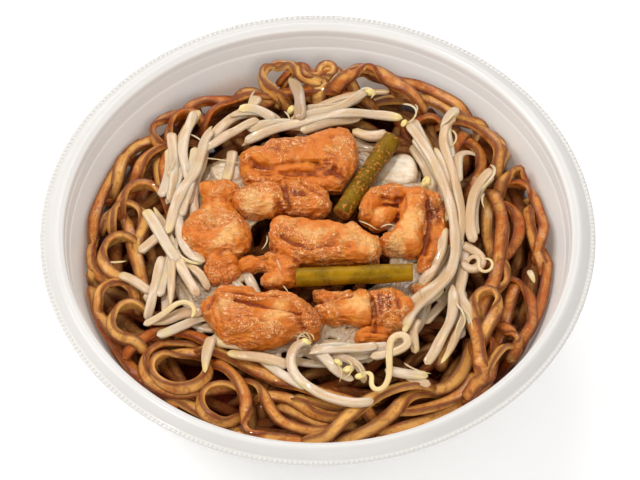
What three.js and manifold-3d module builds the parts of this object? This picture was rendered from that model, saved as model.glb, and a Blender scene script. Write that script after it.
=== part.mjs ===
// Yakisoba in its bowl: a round foamed-plastic bowl, a heap of flat brown noodles, a nest of bean
// sprouts on the noodles, and pieces of marinated meat, garlic stems and onion on top.
// Millimetres, +Z up, origin on the table under the middle of the bowl, +Y away from the eater.

import * as THREE from 'three';
import { mergeVertices } from 'three/addons/utils/BufferGeometryUtils.js';
import Module from 'manifold-3d';

const wasm = await Module();
wasm.setup();

// ---------------------------------------------------------------- driving dimensions

const SIDES = 48; // facets round the bowl
const GAP = 0.4; // clearance between two solids

// Bowl
const RIM_RADIUS = 95; // outer edge of the lip
const CREST_Z = 52; // top of the rim
const CREST_RADIUS = 89.6;
const LIP_Z = 49; // the lip outside the crest
const LIP_WIDTH = 2.2;
const LIP_THICKNESS = 1.1;
const GROOVE_RADIUS = 86; // snap groove for the lid, inside the crest
const GROOVE_Z = 48.8;
const LEDGE_RADIUS = 84.8; // inner corner under the groove, where the wall starts
const LEDGE_Z = 44.5;
const WALL_SLOPE = 2.25; // rise over run of the wall
const WALL_BEND_Z = 31; // the straight wall ends here and curves into the floor
const WALL = 2.1; // wall thickness
const FLOOR_Z = 4.6; // inner floor
const FLOOR_RADIUS = 50;
const FLOOR_CORNER = 61; // where the curve's two tangents meet
const FOOT_RING = 53.5; // middle of the foot ring
const FOOT_WIDTH = 5;
const FOOT_HEIGHT = 2.6;

// Noodle heap: a domed core with whole noodles lying on it
const NOODLE_EDGE_Z = 31.5; // the core meets the wall here
const NOODLE_PEAK_Z = 38.5;
const NOODLE_WIDTH = 4.8;
const NOODLE_THICKNESS = 3;
const NOODLE_SINK = 0.9; // how deep a noodle is fused into what it lies on
const NOODLE_REACH = 76; // farthest a noodle's middle line runs from the bowl's axis

// Bean sprouts: a lens-shaped core with whole sprouts lying on it
const SPROUT_BED = { x: -2, y: 0, radius: 51, peak: 43, edge: 38 };
const SPROUT_RADIUS = 1.9;
const SPROUT_SINK = 1;
const SPROUT_SIDES = 5;
const NOODLE_FACET = 3.6; // length of one facet along a strand
const SPROUT_FACET = 4.5;
const SHORTEST_STRAND = 9; // a stretch shorter than this is left out

// Garlic stems and onion
const STEM_RADIUS = 3.1;
const STEM_SIDES = 8;
const ONION_THICKNESS = 1.3;

// Colours
const WHITE_FOAM = 0xe9e5e0;
const NOODLE_BROWN = 0xb8752f;
const SPROUT_WHITE = 0xe2d8bc;
const MEAT_ORANGE = 0xc4672c;
const STEM_GREEN = 0x7d8420;
const ONION_PALE = 0xd9cba8;

// ---------------------------------------------------------------- layout, by hand

// A strand is [x, y, heading, length, [turns]]: it starts at x, y, sets off at the heading and
// bends by each turn in degrees over an equal share of its length.
const NOODLES = [
  [-65, 47, -145, 37, [25, 10, 5, 5, 5]],
  [-48, -58, -35, 24, [0, 5, 10]],
  [22, -72, 10, 39, [10, 5, 5, 10, 10]],
  [74, 14, -95, 44, [25, 0, -15, -10, -5, -10]],
  [-72, -30, -60, 41, [0, 5, 10, 15, 25]],
  [-42, 61, 170, 26, [25, 60, 60]],
  [-63, 7, 140, 35, [75, 70, 30, -5]],
  [-60, -22, 135, 28, [90, 55, 70]],
  [-43, -36, 170, 58, [20, 45, 55, 35, 35, 20, 0]],
  [-27, -56, 140, 35, [55, 70, 60, 80]],
  [-38, 56, 70, 45, [-40, -5, -20, 5, 5, -15]],
  [17, 64, 35, 41, [-25, -20, -15, -25, 45]],
  [60, 27, 85, 42, [-75, -55, -30, -15, -10]],
  [63, 23, -15, 30, [-55, -25, -25, -30]],
  [65, -8, -5, 30, [-55, -20, -10, -15]],
  [46, 56, 0, 26, [-30, -25, -50]],
  [-37, -41, -20, 57, [-5, -5, 5, 0, 0, 5, 0]],
  [-23, -53, -25, 40, [-50, 20, 30, 20, 30]],
  [10, -76, 20, 62, [5, 20, 10, -40, 0, 35, 20, 10]],
  [60, 24, -60, 51, [-20, -15, 0, -5, -15, 15]],
  [-72, 18, 85, 42, [-150, -5, 5, -5, 0]],
  [-67, 22, 85, 25, [-60, -70, -25]],
  [-2, 69, -20, 57, [55, -10, -45, 0, 0, -20, -15]],
  [53, -39, 125, 34, [-155, -65, 0, -15]],
  [-1, -76, 20, 43, [25, 0, -10, -15, -15]],
  [-16, 67, 150, 33, [-65, -85, -55, 45]],
  [67, -13, -105, 42, [5, -5, -10, 25, -15]],
  [-80, -17, -40, 31, [-20, 5, 25, 20]],
  [35, 59, 35, 24, [-70, -25, -30]],
  [-9, 75, 75, 15, [-115, -30]],
  [63, -3, -55, 46, [-40, -75, 50, 20, 0, -15]],
  [-42, -41, 175, 48, [10, 60, 60, 45, 45, 55]],
];

const SPROUTS = [
  [-42, 57, -105, 40, [-5, 15, 20, -5, -30]],
  [-50, 48, -85, 30, [0, -5, -5, -5]],
  [-36, 48, -130, 47, [30, -5, -20, 15, 10, -5]],
  [-20, 52, -165, 23, [20, 5, -10]],
  [-59, 15, -60, 26, [-5, 0, 10]],
  [-48, 13, -80, 24, [-5, 20, 55]],
  [-53, -4, -105, 27, [5, 0, -5]],
  [-48, -6, -70, 17, [5, 5]],
  [-58, -32, -5, 20, [45, -65]],
  [-55, -36, 15, 21, [15, -5, -30]],
  [-36, -38, -110, 15, [10, 10]],
  [-25, 44, 25, 56, [-5, -5, 5, -5, -10, -10, -10]],
  [-6, 53, 20, 27, [-10, 30, 10]],
  [-6, 48, 90, 20, [0, 15, 20]],
  [38, 37, -70, 36, [5, -5, -10, -20]],
  [47, 54, -145, 56, [45, 25, 0, -5, 0, -10, -10]],
  [31, 50, -60, 96, [0, -5, -5, -5, -5, -5, -5, -15, -25, -5, 15, 25]],
  [60, 32, -140, 34, [25, 15, 10, 15]],
  [46, -16, -85, 35, [-5, -25, 5, -15]],
  [-2, -42, 160, 48, [85, 50, 25, 15, 15, 30]],
  [-2, -42, -45, 20, [-10, 35]],
  [0, -43, -5, 25, [5, 5, 5]],
  [25, -42, 120, 44, [-150, -100, 40, -50, -160]],
  [23, -52, -20, 15, [10, 5]],
];

// A piece of meat is one or more lobes: middle, heading, length, width, height, and how wide the
// lobe is from end to end.
const MEAT = {
  meat_top: [
    { x: -6, y: 35.5, heading: 8, length: 38, width: 16, height: 11.5, outline: [0.75, 1, 0.95, 0.9, 1, 0.85] },
    { x: -10, y: 27.5, heading: 4, length: 26, width: 8, height: 7, outline: [0.7, 1, 0.9, 0.8] },
  ],
  meat_mid_left: [
    { x: -18, y: 15.5, heading: 5, length: 23, width: 12, height: 10, outline: [0.75, 1, 0.95, 0.8] },
    { x: -5, y: 13.5, heading: -15, length: 17, width: 11, height: 9, outline: [0.9, 1, 0.9, 0.6] },
  ],
  meat_left: [
    { x: -34, y: 4.5, heading: -82, length: 41, width: 22, height: 9.5, outline: [0.5, 0.55, 0.4, 0.9, 1, 0.85, 0.5] },
  ],
  meat_centre: [
    { x: 2.5, y: -1.5, heading: -10, length: 38, width: 12, height: 11, outline: [0.85, 1, 1, 0.95, 1, 1] },
    { x: -12, y: -8.5, heading: -3, length: 21, width: 9, height: 6, outline: [0.7, 1, 0.9, 0.9] },
  ],
  meat_right: [
    { x: 21.5, y: 13.5, heading: 60, length: 18, width: 12, height: 9, outline: [0.8, 1, 0.9] },
    { x: 31, y: 5.5, heading: 78, length: 28, width: 13, height: 11, outline: [0.8, 1, 0.95, 1, 0.85] },
  ],
  meat_front_left: [
    { x: -19.5, y: -31.5, heading: -6, length: 40, width: 18, height: 12.5, outline: [0.75, 1, 1, 1, 0.9, 0.6] },
  ],
  meat_front: [
    { x: 9, y: -28.5, heading: 8, length: 15.5, width: 11, height: 8.5, outline: [0.7, 1, 1, 0.9] },
  ],
  meat_front_right: [
    { x: 25.5, y: -29, heading: -72, length: 20, width: 14, height: 9.5, outline: [0.85, 1, 0.9, 0.8] },
  ],
  meat_scrap: [
    { x: 34.5, y: -16.5, heading: 50, length: 9, width: 5, height: 5, outline: [0.7, 1, 0.7] },
  ],
};

const STEMS = {
  stem_back: { from: [7.5, 8], to: [27, 45] },
  stem_front: { from: [-6.5, -16.5], to: [32.5, -14.5] },
};

const ONIONS = {
  onion_back: { x: 29, y: 31, heading: 20, length: 13, width: 12 },
  onion_right: { x: 42.5, y: -3, heading: 85, length: 17, width: 7 },
};

// ---------------------------------------------------------------- small helpers

const radians = THREE.MathUtils.degToRad;

// Random draws that are the same on every run.
function seededRandom(seed) {
  let state = seed;
  return () => {
    state = (state * 1664525 + 1013904223) % 4294967296;
    return state / 4294967296;
  };
}

// Value at t (0 to 1) along a list of evenly spaced values.
function along(values, t) {
  const at = t * (values.length - 1);
  const i = Math.min(Math.floor(at), values.length - 2);
  return THREE.MathUtils.lerp(values[i], values[i + 1], at - i);
}

function solidOf(geometry) {
  geometry.deleteAttribute('normal');
  geometry.deleteAttribute('uv');
  const merged = mergeVertices(geometry, 1e-4);
  return new wasm.Manifold(new wasm.Mesh({
    numProp: 3,
    vertProperties: merged.attributes.position.array,
    triVerts: new Uint32Array(merged.index.array),
  }));
}

function geometryOf(solid) {
  const { vertProperties, triVerts } = solid.getMesh();
  const geometry = new THREE.BufferGeometry();
  geometry.setAttribute('position', new THREE.BufferAttribute(vertProperties, 3));
  geometry.setIndex(new THREE.BufferAttribute(triVerts, 1));
  geometry.computeVertexNormals();
  return geometry;
}

// How the end ring of a loft is closed: a fan for a round ring, rungs for a flat one whose first
// half is its lower edge and whose second half is its upper edge, walked back.
function fanCap(count) {
  return Array.from({ length: count - 2 }, (_, k) => [0, k + 1, k + 2]);
}

function rungCap(count) {
  return Array.from({ length: count / 2 - 1 }, (_, k) => [
    [k, k + 1, count - 1 - k],
    [k + 1, count - 2 - k, count - 1 - k],
  ]).flat();
}

// Closed skin over a row of rings with the same number of points, each ring anticlockwise as seen
// from the next one.
function loft(rings, cap = fanCap) {
  const count = rings[0].length;
  const last = (rings.length - 1) * count;
  const index = [];
  for (let i = 0; i < last; i += count) {
    for (let k = 0; k < count; k += 1) {
      const a = i + k;
      const b = i + ((k + 1) % count);
      index.push(a, b, b + count, a, b + count, a + count);
    }
  }
  for (const [a, b, c] of cap(count)) index.push(a, c, b, last + a, last + b, last + c);
  const geometry = new THREE.BufferGeometry();
  const positions = rings.flat().flatMap((point) => point.toArray());
  geometry.setAttribute('position', new THREE.Float32BufferAttribute(positions, 3));
  geometry.setIndex(index);
  return geometry;
}

// Solid of revolution about Z from an outline of [radius, z] points.
function turned(outline, sides) {
  const points = outline.map(([r, z]) => new THREE.Vector2(r, z));
  return new THREE.LatheGeometry(points, sides).rotateX(Math.PI / 2);
}

function node(name, geometry, colour, roughness) {
  const material = new THREE.MeshStandardMaterial({ color: colour, roughness, metalness: 0 });
  const mesh = new THREE.Mesh(geometry, material);
  mesh.name = name;
  return mesh;
}

// ---------------------------------------------------------------- heights of what lies in the bowl

const wallRadius = (z) => LEDGE_RADIUS - (LEDGE_Z - z) / WALL_SLOPE;

const noodleCoreRadius = wallRadius(NOODLE_EDGE_Z) - GAP * 1.2;

function noodleCoreTop(x, y) {
  const share = Math.hypot(x, y) / noodleCoreRadius;
  return NOODLE_PEAK_Z - (NOODLE_PEAK_Z - NOODLE_EDGE_Z) * share * share;
}

function bedShare(x, y) {
  return Math.hypot(x - SPROUT_BED.x, y - SPROUT_BED.y) / SPROUT_BED.radius;
}

function bedTop(x, y) {
  const share = bedShare(x, y);
  return SPROUT_BED.peak - (SPROUT_BED.peak - SPROUT_BED.edge) * share * share;
}

// What a topping rests on: the sprout core, or the noodle core past its edge.
const toppingBase = (x, y) => Math.max(bedTop(x, y), noodleCoreTop(x, y)) + GAP;

// Highest solid over each square millimetre of the bowl.
class HeightMap {
  constructor() {
    this.reach = 90;
    this.size = 2 * this.reach + 1;
    this.cells = new Float32Array(this.size * this.size).fill(-Infinity);
  }

  forDisc(x, y, radius, visit) {
    const whole = Math.ceil(radius);
    const column = Math.round(x) + this.reach;
    const row = Math.round(y) + this.reach;
    for (let j = -whole; j <= whole; j += 1) {
      for (let i = -whole; i <= whole; i += 1) {
        const inside = i * i + j * j <= radius * radius;
        const onMap = Math.max(Math.abs(column + i - this.reach), Math.abs(row + j - this.reach)) <= this.reach;
        if (inside && onMap) visit((row + j) * this.size + column + i);
      }
    }
  }

  peak(x, y, radius) {
    let highest = -Infinity;
    this.forDisc(x, y, radius, (cell) => {
      highest = Math.max(highest, this.cells[cell]);
    });
    return highest;
  }

  raise(x, y, radius, top) {
    this.forDisc(x, y, radius, (cell) => {
      this.cells[cell] = Math.max(this.cells[cell], top);
    });
  }
}

// ---------------------------------------------------------------- strands

// Points a millimetre apart along a strand of the layout.
function strandPath([x, y, heading, length, turns], reach) {
  const path = [];
  const steps = Math.round(length);
  let angle = radians(heading);
  let px = x;
  let py = y;
  for (let i = 0; i <= steps; i += 1) {
    const inward = Math.min(1, reach / Math.hypot(px, py));
    path.push({ x: px * inward, y: py * inward });
    const turn = turns[Math.min(turns.length - 1, Math.floor((i / steps) * turns.length))];
    angle += radians(turn) * (turns.length / steps);
    px += Math.cos(angle) * (length / steps);
    py += Math.sin(angle) * (length / steps);
  }
  return path;
}

// Lets a strand down on its supports: it bridges from one high point to the next in a shallow
// curve, and climbs over itself where it crosses.
function layStrand(path, supports, width, thickness) {
  const bend = 0.02;
  const levels = supports.map((level) => level + thickness / 2);
  let heights = levels;
  for (let pass = 0; pass < 3; pass += 1) {
    heights = levels.map((_, i) => Math.max(...levels.map((level, j) => level - bend * (i - j) ** 2)));
    path.forEach((point, i) => {
      for (let j = i + Math.ceil(2 * width); j < path.length; j += 1) {
        const near = Math.hypot(point.x - path[j].x, point.y - path[j].y) < width * 1.1;
        if (near) levels[j] = Math.max(levels[j], heights[i] + thickness * 0.8);
      }
    });
  }
  return path.map((point, i) => new THREE.Vector3(point.x, point.y, heights[i]));
}

// The longest stretch of a path that keeps clear of what blocks it.
function clearStretch(path, isClear) {
  let best = [];
  let current = [];
  for (const point of path) {
    current = isClear(point) ? [...current, point] : [];
    if (current.length > best.length) best = current;
  }
  return best;
}

// A strand's solid: a section carried along its points, level across.
function strandSolid(points, facet, section) {
  const curve = new THREE.CatmullRomCurve3(points.filter((_, i) => i % 3 === 0 || i === points.length - 1));
  const steps = Math.max(2, Math.round(points.length / facet));
  const rings = [];
  for (let i = 0; i <= steps; i += 1) {
    const t = i / steps;
    const centre = curve.getPointAt(t);
    const tangent = curve.getTangentAt(t);
    const side = new THREE.Vector3(-tangent.y, tangent.x, 0).normalize();
    const up = new THREE.Vector3().crossVectors(tangent, side);
    rings.push(section(t).map(([u, v]) => centre.clone().addScaledVector(side, u).addScaledVector(up, v)));
  }
  return solidOf(loft(rings));
}

function noodleSection() {
  const u = NOODLE_WIDTH / 2;
  const v = NOODLE_THICKNESS / 2;
  return [[-u, -v], [u, -v], [u, v], [-u, v]];
}

// Round, slimmer at the head, and drawn out to the root.
function sproutSection(t) {
  const radius = SPROUT_RADIUS * along([0.8, 1, 1, 0.95, 0.8, 0.45], t);
  return Array.from({ length: SPROUT_SIDES }, (_, k) => {
    const angle = (2 * Math.PI * k) / SPROUT_SIDES;
    return [radius * Math.cos(angle), radius * Math.sin(angle)];
  });
}

// ---------------------------------------------------------------- bowl

// Outline from the axis across the inner floor, up the wall, over the rim and back underneath.
function bowlOutline() {
  const inner = new THREE.Path();
  inner.moveTo(0, FLOOR_Z);
  inner.lineTo(FLOOR_RADIUS, FLOOR_Z);
  inner.quadraticCurveTo(FLOOR_CORNER, FLOOR_Z, wallRadius(WALL_BEND_Z), WALL_BEND_Z);
  inner.lineTo(LEDGE_RADIUS, LEDGE_Z);
  inner.lineTo(GROOVE_RADIUS, GROOVE_Z);
  inner.lineTo(CREST_RADIUS - 2.2, CREST_Z - 0.4);
  inner.lineTo(CREST_RADIUS, CREST_Z);
  inner.lineTo(CREST_RADIUS + 1.8, CREST_Z - 0.6);
  inner.lineTo(RIM_RADIUS - LIP_WIDTH, LIP_Z + 0.6);
  inner.lineTo(RIM_RADIUS, LIP_Z);

  const outer = new THREE.Path();
  outer.moveTo(RIM_RADIUS, LIP_Z - LIP_THICKNESS);
  outer.lineTo(RIM_RADIUS - LIP_WIDTH - 0.3, LIP_Z - 0.6);
  outer.lineTo(CREST_RADIUS - 0.4, CREST_Z - WALL + 0.2);
  outer.lineTo(LEDGE_RADIUS + WALL, LEDGE_Z);
  outer.lineTo(wallRadius(WALL_BEND_Z) + WALL, WALL_BEND_Z);
  outer.quadraticCurveTo(FLOOR_CORNER + WALL, FOOT_HEIGHT, FOOT_RING + FOOT_WIDTH / 2 + 1, FOOT_HEIGHT);
  outer.lineTo(FOOT_RING + FOOT_WIDTH / 2, 0);
  outer.lineTo(FOOT_RING - FOOT_WIDTH / 2, 0);
  outer.lineTo(FOOT_RING - FOOT_WIDTH / 2 - 1, FOOT_HEIGHT);
  outer.lineTo(0, FOOT_HEIGHT);
  return [...inner.getPoints(4), ...outer.getPoints(4)].map((point) => [point.x, point.y]);
}

function makeBowl() {
  return turned(bowlOutline().reverse(), SIDES);
}

// ---------------------------------------------------------------- noodles and sprouts

function noodleCore() {
  const outline = new THREE.Path();
  const wallGap = GAP * 1.2;
  outline.moveTo(0, FLOOR_Z + GAP);
  outline.lineTo(FLOOR_RADIUS - wallGap, FLOOR_Z + GAP);
  outline.quadraticCurveTo(
    FLOOR_CORNER - wallGap, FLOOR_Z + GAP,
    wallRadius(WALL_BEND_Z) - wallGap, WALL_BEND_Z,
  );
  outline.lineTo(noodleCoreRadius, NOODLE_EDGE_Z);
  const dome = [0.85, 0.68, 0.5, 0.3, 0].map((share) => [
    share * noodleCoreRadius,
    noodleCoreTop(share * noodleCoreRadius, 0),
  ]);
  const points = outline.getPoints(4).map((point) => [point.x, point.y]);
  return solidOf(turned([...points, ...dome], SIDES));
}

// Noodles lie on the core, on each other and on the wall, and stop short of the toppings.
function noodleHeap(toppings, heights) {
  const half = NOODLE_WIDTH / 2;
  const isClear = ({ x, y }) => {
    const offBed = Math.hypot(x - SPROUT_BED.x, y - SPROUT_BED.y) > SPROUT_BED.radius + half + GAP;
    return offBed && toppings.peak(x, y, half + 1) === -Infinity;
  };
  let heap = noodleCore();
  for (const strand of NOODLES) {
    const path = clearStretch(strandPath(strand, NOODLE_REACH), isClear);
    if (path.length < SHORTEST_STRAND) continue;
    const supports = path.map(({ x, y }) => {
      const below = Math.max(noodleCoreTop(x, y), heights.peak(x, y, half)) - NOODLE_SINK;
      const outside = Math.hypot(x, y) + half + 2 * GAP;
      return Math.max(below, LEDGE_Z - (LEDGE_RADIUS - outside) * WALL_SLOPE);
    });
    const points = layStrand(path, supports, NOODLE_WIDTH, NOODLE_THICKNESS);
    for (const { x, y, z } of points) heights.raise(x, y, half + 0.5, z + NOODLE_THICKNESS / 2);
    heap = heap.add(strandSolid(points, NOODLE_FACET, noodleSection));
  }
  return heap;
}

// The lens between the noodle core and the sprouts' own surface.
function sproutCore() {
  const sides = 28;
  const shares = [1, 0.7, 0.4, 0];
  const { x, y, radius } = SPROUT_BED;
  const top = shares.map((share) => [share * radius, bedTop(x + share * radius, y)]);
  const column = solidOf(turned([[0, FLOOR_Z], [radius, FLOOR_Z], ...top], sides)).translate([x, y, 0]);
  const dome = [1, 0.85, 0.68, 0.5, 0.3, 0].map((share) => share * noodleCoreRadius);
  const hollow = dome.map((r) => [r, noodleCoreTop(r, 0) + GAP]);
  return column.subtract(solidOf(turned([[0, 0], [noodleCoreRadius, 0], ...hollow], SIDES)));
}

// Sprouts lie on their core, on each other and on what else is there, and stop short of the meat.
// One that touches neither the core nor another sprout waits for a second round.
function sproutHeap(toppings, others, heights) {
  const isClear = ({ x, y }) => toppings.peak(x, y, SPROUT_RADIUS + 1) === -Infinity;
  const own = (x, y) => {
    const core = bedShare(x, y) < 0.97 ? bedTop(x, y) : -Infinity;
    return Math.max(core, heights.peak(x, y, 0.6 * SPROUT_RADIUS)) - SPROUT_SINK;
  };
  const other = (x, y) => {
    const pieces = others.map((map) => map.peak(x, y, SPROUT_RADIUS));
    return Math.max(...pieces, noodleCoreTop(x, y)) + GAP;
  };
  const placed = new Set();
  let heap = sproutCore();
  for (const strand of [...SPROUTS, ...SPROUTS]) {
    if (placed.has(strand)) continue;
    const path = clearStretch(strandPath(strand, NOODLE_REACH), isClear);
    if (path.length < SHORTEST_STRAND) continue;
    const supports = path.map(({ x, y }) => Math.max(own(x, y), other(x, y)));
    const points = layStrand(path, supports, 2 * SPROUT_RADIUS, 2 * SPROUT_RADIUS);
    const joined = heap.add(strandSolid(points, SPROUT_FACET, sproutSection));
    if (joined.decompose().length > 1) continue;
    placed.add(strand);
    for (const { x, y, z } of points) heights.raise(x, y, SPROUT_RADIUS, z + SPROUT_RADIUS);
    heap = joined;
  }
  return heap;
}

// ---------------------------------------------------------------- meat, stems and onion

// A rounded lump on its base, from a row of flattened rings along a straight line.
function lobeSolid(lobe, random) {
  const sides = 10;
  const rings = [];
  const steps = lobe.outline.length + 2;
  const heading = radians(lobe.heading);
  for (let i = 0; i <= steps; i += 1) {
    const t = i / steps;
    const endRound = Math.sqrt(Math.max(0.3, 1 - (2 * t - 1) ** 8));
    const widening = along(lobe.outline, t) * endRound;
    const forward = (t - 0.5) * lobe.length;
    const ring = [];
    for (let k = 0; k < sides; k += 1) {
      const angle = (2 * Math.PI * k) / sides;
      const uneven = 0.92 + 0.16 * random();
      const aside = 0.5 * lobe.width * widening * Math.cos(angle) * uneven;
      const lift = 0.5 + 0.5 * Math.sin(angle) * Math.min(1, uneven);
      const x = lobe.x + forward * Math.cos(heading) - aside * Math.sin(heading);
      const y = lobe.y + forward * Math.sin(heading) + aside * Math.cos(heading);
      const top = lobe.height * (0.35 + 0.65 * widening);
      ring.push(new THREE.Vector3(x, y, toppingBase(x, y) + lift * top));
    }
    rings.push(ring);
  }
  return solidOf(loft(rings));
}

// Marks the ground that a solid covers, with its height, in a map.
function stampSolid(map, solid, margin) {
  const { vertProperties, triVerts } = solid.getMesh();
  const corner = (i) => new THREE.Vector3().fromArray(vertProperties, 3 * triVerts[i]);
  for (let i = 0; i < triVerts.length; i += 3) {
    const [a, b, c] = [corner(i), corner(i + 1), corner(i + 2)];
    const steps = Math.ceil(Math.max(a.distanceTo(b), b.distanceTo(c), c.distanceTo(a)) / 1.5);
    for (let u = 0; u <= steps; u += 1) {
      for (let v = 0; u + v <= steps; v += 1) {
        const point = a.clone().multiplyScalar((steps - u - v) / steps);
        point.addScaledVector(b, u / steps).addScaledVector(c, v / steps);
        map.raise(point.x, point.y, margin, point.z);
      }
    }
  }
}

// The ends of a straight rod let down on what is below it, as low as both ends can go.
function restingEnds({ from, to }, maps) {
  const start = new THREE.Vector2(...from);
  const end = new THREE.Vector2(...to);
  const steps = 30;
  const needed = Array.from({ length: steps + 1 }, (_, i) => {
    const { x, y } = start.clone().lerp(end, i / steps);
    const tops = maps.map((map) => map.peak(x, y, STEM_RADIUS) + GAP);
    return Math.max(...tops, toppingBase(x, y)) + STEM_RADIUS;
  });
  let best = { near: Infinity, far: Infinity };
  for (let near = needed[0]; near < CREST_Z + 20; near += 0.25) {
    const far = Math.max(...needed.slice(1).map((level, i) => {
      const t = (i + 1) / steps;
      return (level - (1 - t) * near) / t;
    }));
    if (near + far < best.near + best.far) best = { near, far };
  }
  return [new THREE.Vector3(start.x, start.y, best.near), new THREE.Vector3(end.x, end.y, best.far)];
}

function stemSolid(stem, maps) {
  const [start, end] = restingEnds(stem, maps);
  const outline = new THREE.Shape();
  outline.absarc(0, 0, STEM_RADIUS, 0, 2 * Math.PI);
  return solidOf(new THREE.ExtrudeGeometry(outline, {
    steps: 3,
    curveSegments: STEM_SIDES,
    bevelEnabled: false,
    extrudePath: new THREE.LineCurve3(start, end),
  }));
}

// A thin wavy slice: an upper and a lower face over the same grid, joined round the edge.
function onionSolid(slice) {
  const across = 4;
  const down = 5;
  const heading = radians(slice.heading);
  const corner = (i, j, lift) => {
    const u = (i / down - 0.5) * slice.length;
    const v = (j / across - 0.5) * slice.width * (0.75 + 0.25 * Math.sin((Math.PI * i) / down));
    const x = slice.x + u * Math.cos(heading) - v * Math.sin(heading);
    const y = slice.y + u * Math.sin(heading) + v * Math.cos(heading);
    const wave = 0.5 + 0.5 * Math.sin((2 * Math.PI * j) / across + i);
    return new THREE.Vector3(x, y, toppingBase(x, y) + wave + lift);
  };
  const rings = [];
  for (let i = 0; i <= down; i += 1) {
    const lower = Array.from({ length: across + 1 }, (_, j) => corner(i, j, 0));
    const upper = Array.from({ length: across + 1 }, (_, j) => corner(i, across - j, ONION_THICKNESS));
    rings.push([...lower, ...upper]);
  }
  return solidOf(loft(rings, rungCap));
}

// ---------------------------------------------------------------- assembly

const random = seededRandom(7);
const meatTops = new HeightMap();
const onionTops = new HeightMap();
const noodleTops = new HeightMap();
const sproutTops = new HeightMap();
const parts = new THREE.Group();

parts.add(node('bowl', makeBowl(), WHITE_FOAM, 0.55));

for (const [name, lobes] of Object.entries(MEAT)) {
  const solid = lobes.map((lobe) => lobeSolid(lobe, random)).reduce((whole, lobe) => whole.add(lobe));
  stampSolid(meatTops, solid, 0.8);
  parts.add(node(name, geometryOf(solid), MEAT_ORANGE, 0.45));
}

for (const [name, slice] of Object.entries(ONIONS)) {
  const solid = onionSolid(slice);
  stampSolid(onionTops, solid, 0.8);
  parts.add(node(name, geometryOf(solid), ONION_PALE, 0.35));
}

parts.add(node('noodles', geometryOf(noodleHeap(meatTops, noodleTops)), NOODLE_BROWN, 0.35));

const sprouts = sproutHeap(meatTops, [noodleTops, onionTops], sproutTops);
parts.add(node('bean_sprouts', geometryOf(sprouts), SPROUT_WHITE, 0.35));

for (const [name, stem] of Object.entries(STEMS)) {
  const solid = stemSolid(stem, [meatTops, onionTops, noodleTops, sproutTops]);
  parts.add(node(name, geometryOf(solid), STEM_GREEN, 0.4));
}

export default parts;
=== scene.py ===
import math
from typing import NamedTuple

import bmesh
import bpy
import numpy as np
from bpy.props import FloatProperty, FloatVectorProperty, IntProperty, PointerProperty
from mathutils import Matrix, Vector, noise


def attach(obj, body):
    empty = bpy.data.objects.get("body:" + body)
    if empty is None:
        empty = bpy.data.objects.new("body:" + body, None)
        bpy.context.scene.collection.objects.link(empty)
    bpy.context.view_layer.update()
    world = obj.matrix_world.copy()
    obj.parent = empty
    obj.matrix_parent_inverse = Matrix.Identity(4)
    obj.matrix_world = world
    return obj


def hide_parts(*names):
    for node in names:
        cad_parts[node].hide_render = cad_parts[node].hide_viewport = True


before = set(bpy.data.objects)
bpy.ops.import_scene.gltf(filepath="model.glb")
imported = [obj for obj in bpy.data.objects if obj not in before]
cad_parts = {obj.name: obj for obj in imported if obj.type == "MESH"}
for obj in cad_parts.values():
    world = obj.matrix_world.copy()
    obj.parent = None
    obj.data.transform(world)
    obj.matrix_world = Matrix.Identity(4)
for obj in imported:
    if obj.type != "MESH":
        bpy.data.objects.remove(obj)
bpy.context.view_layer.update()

bl_info = {
    "name": "Yakisoba in its bowl",
    "version": (1, 0, 0),
    "blender": (4, 5, 0),
    "location": "3D View > Sidebar > Yakisoba",
    "description": "Dresses a bowl of fried noodles with sprouts, marinated meat and garlic stems",
    "category": "Object",
}

MM = 0.001
BODY = "root"


def tint(*display):
    """A display colour, 0 to 255, as the linear colour that shaders use."""
    return tuple(((c / 255 + 0.055) / 1.055) ** 2.4 if c > 10 else c / 3295 for c in display)


def darker(tone, share):
    return tuple(c * share for c in tone)
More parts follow.
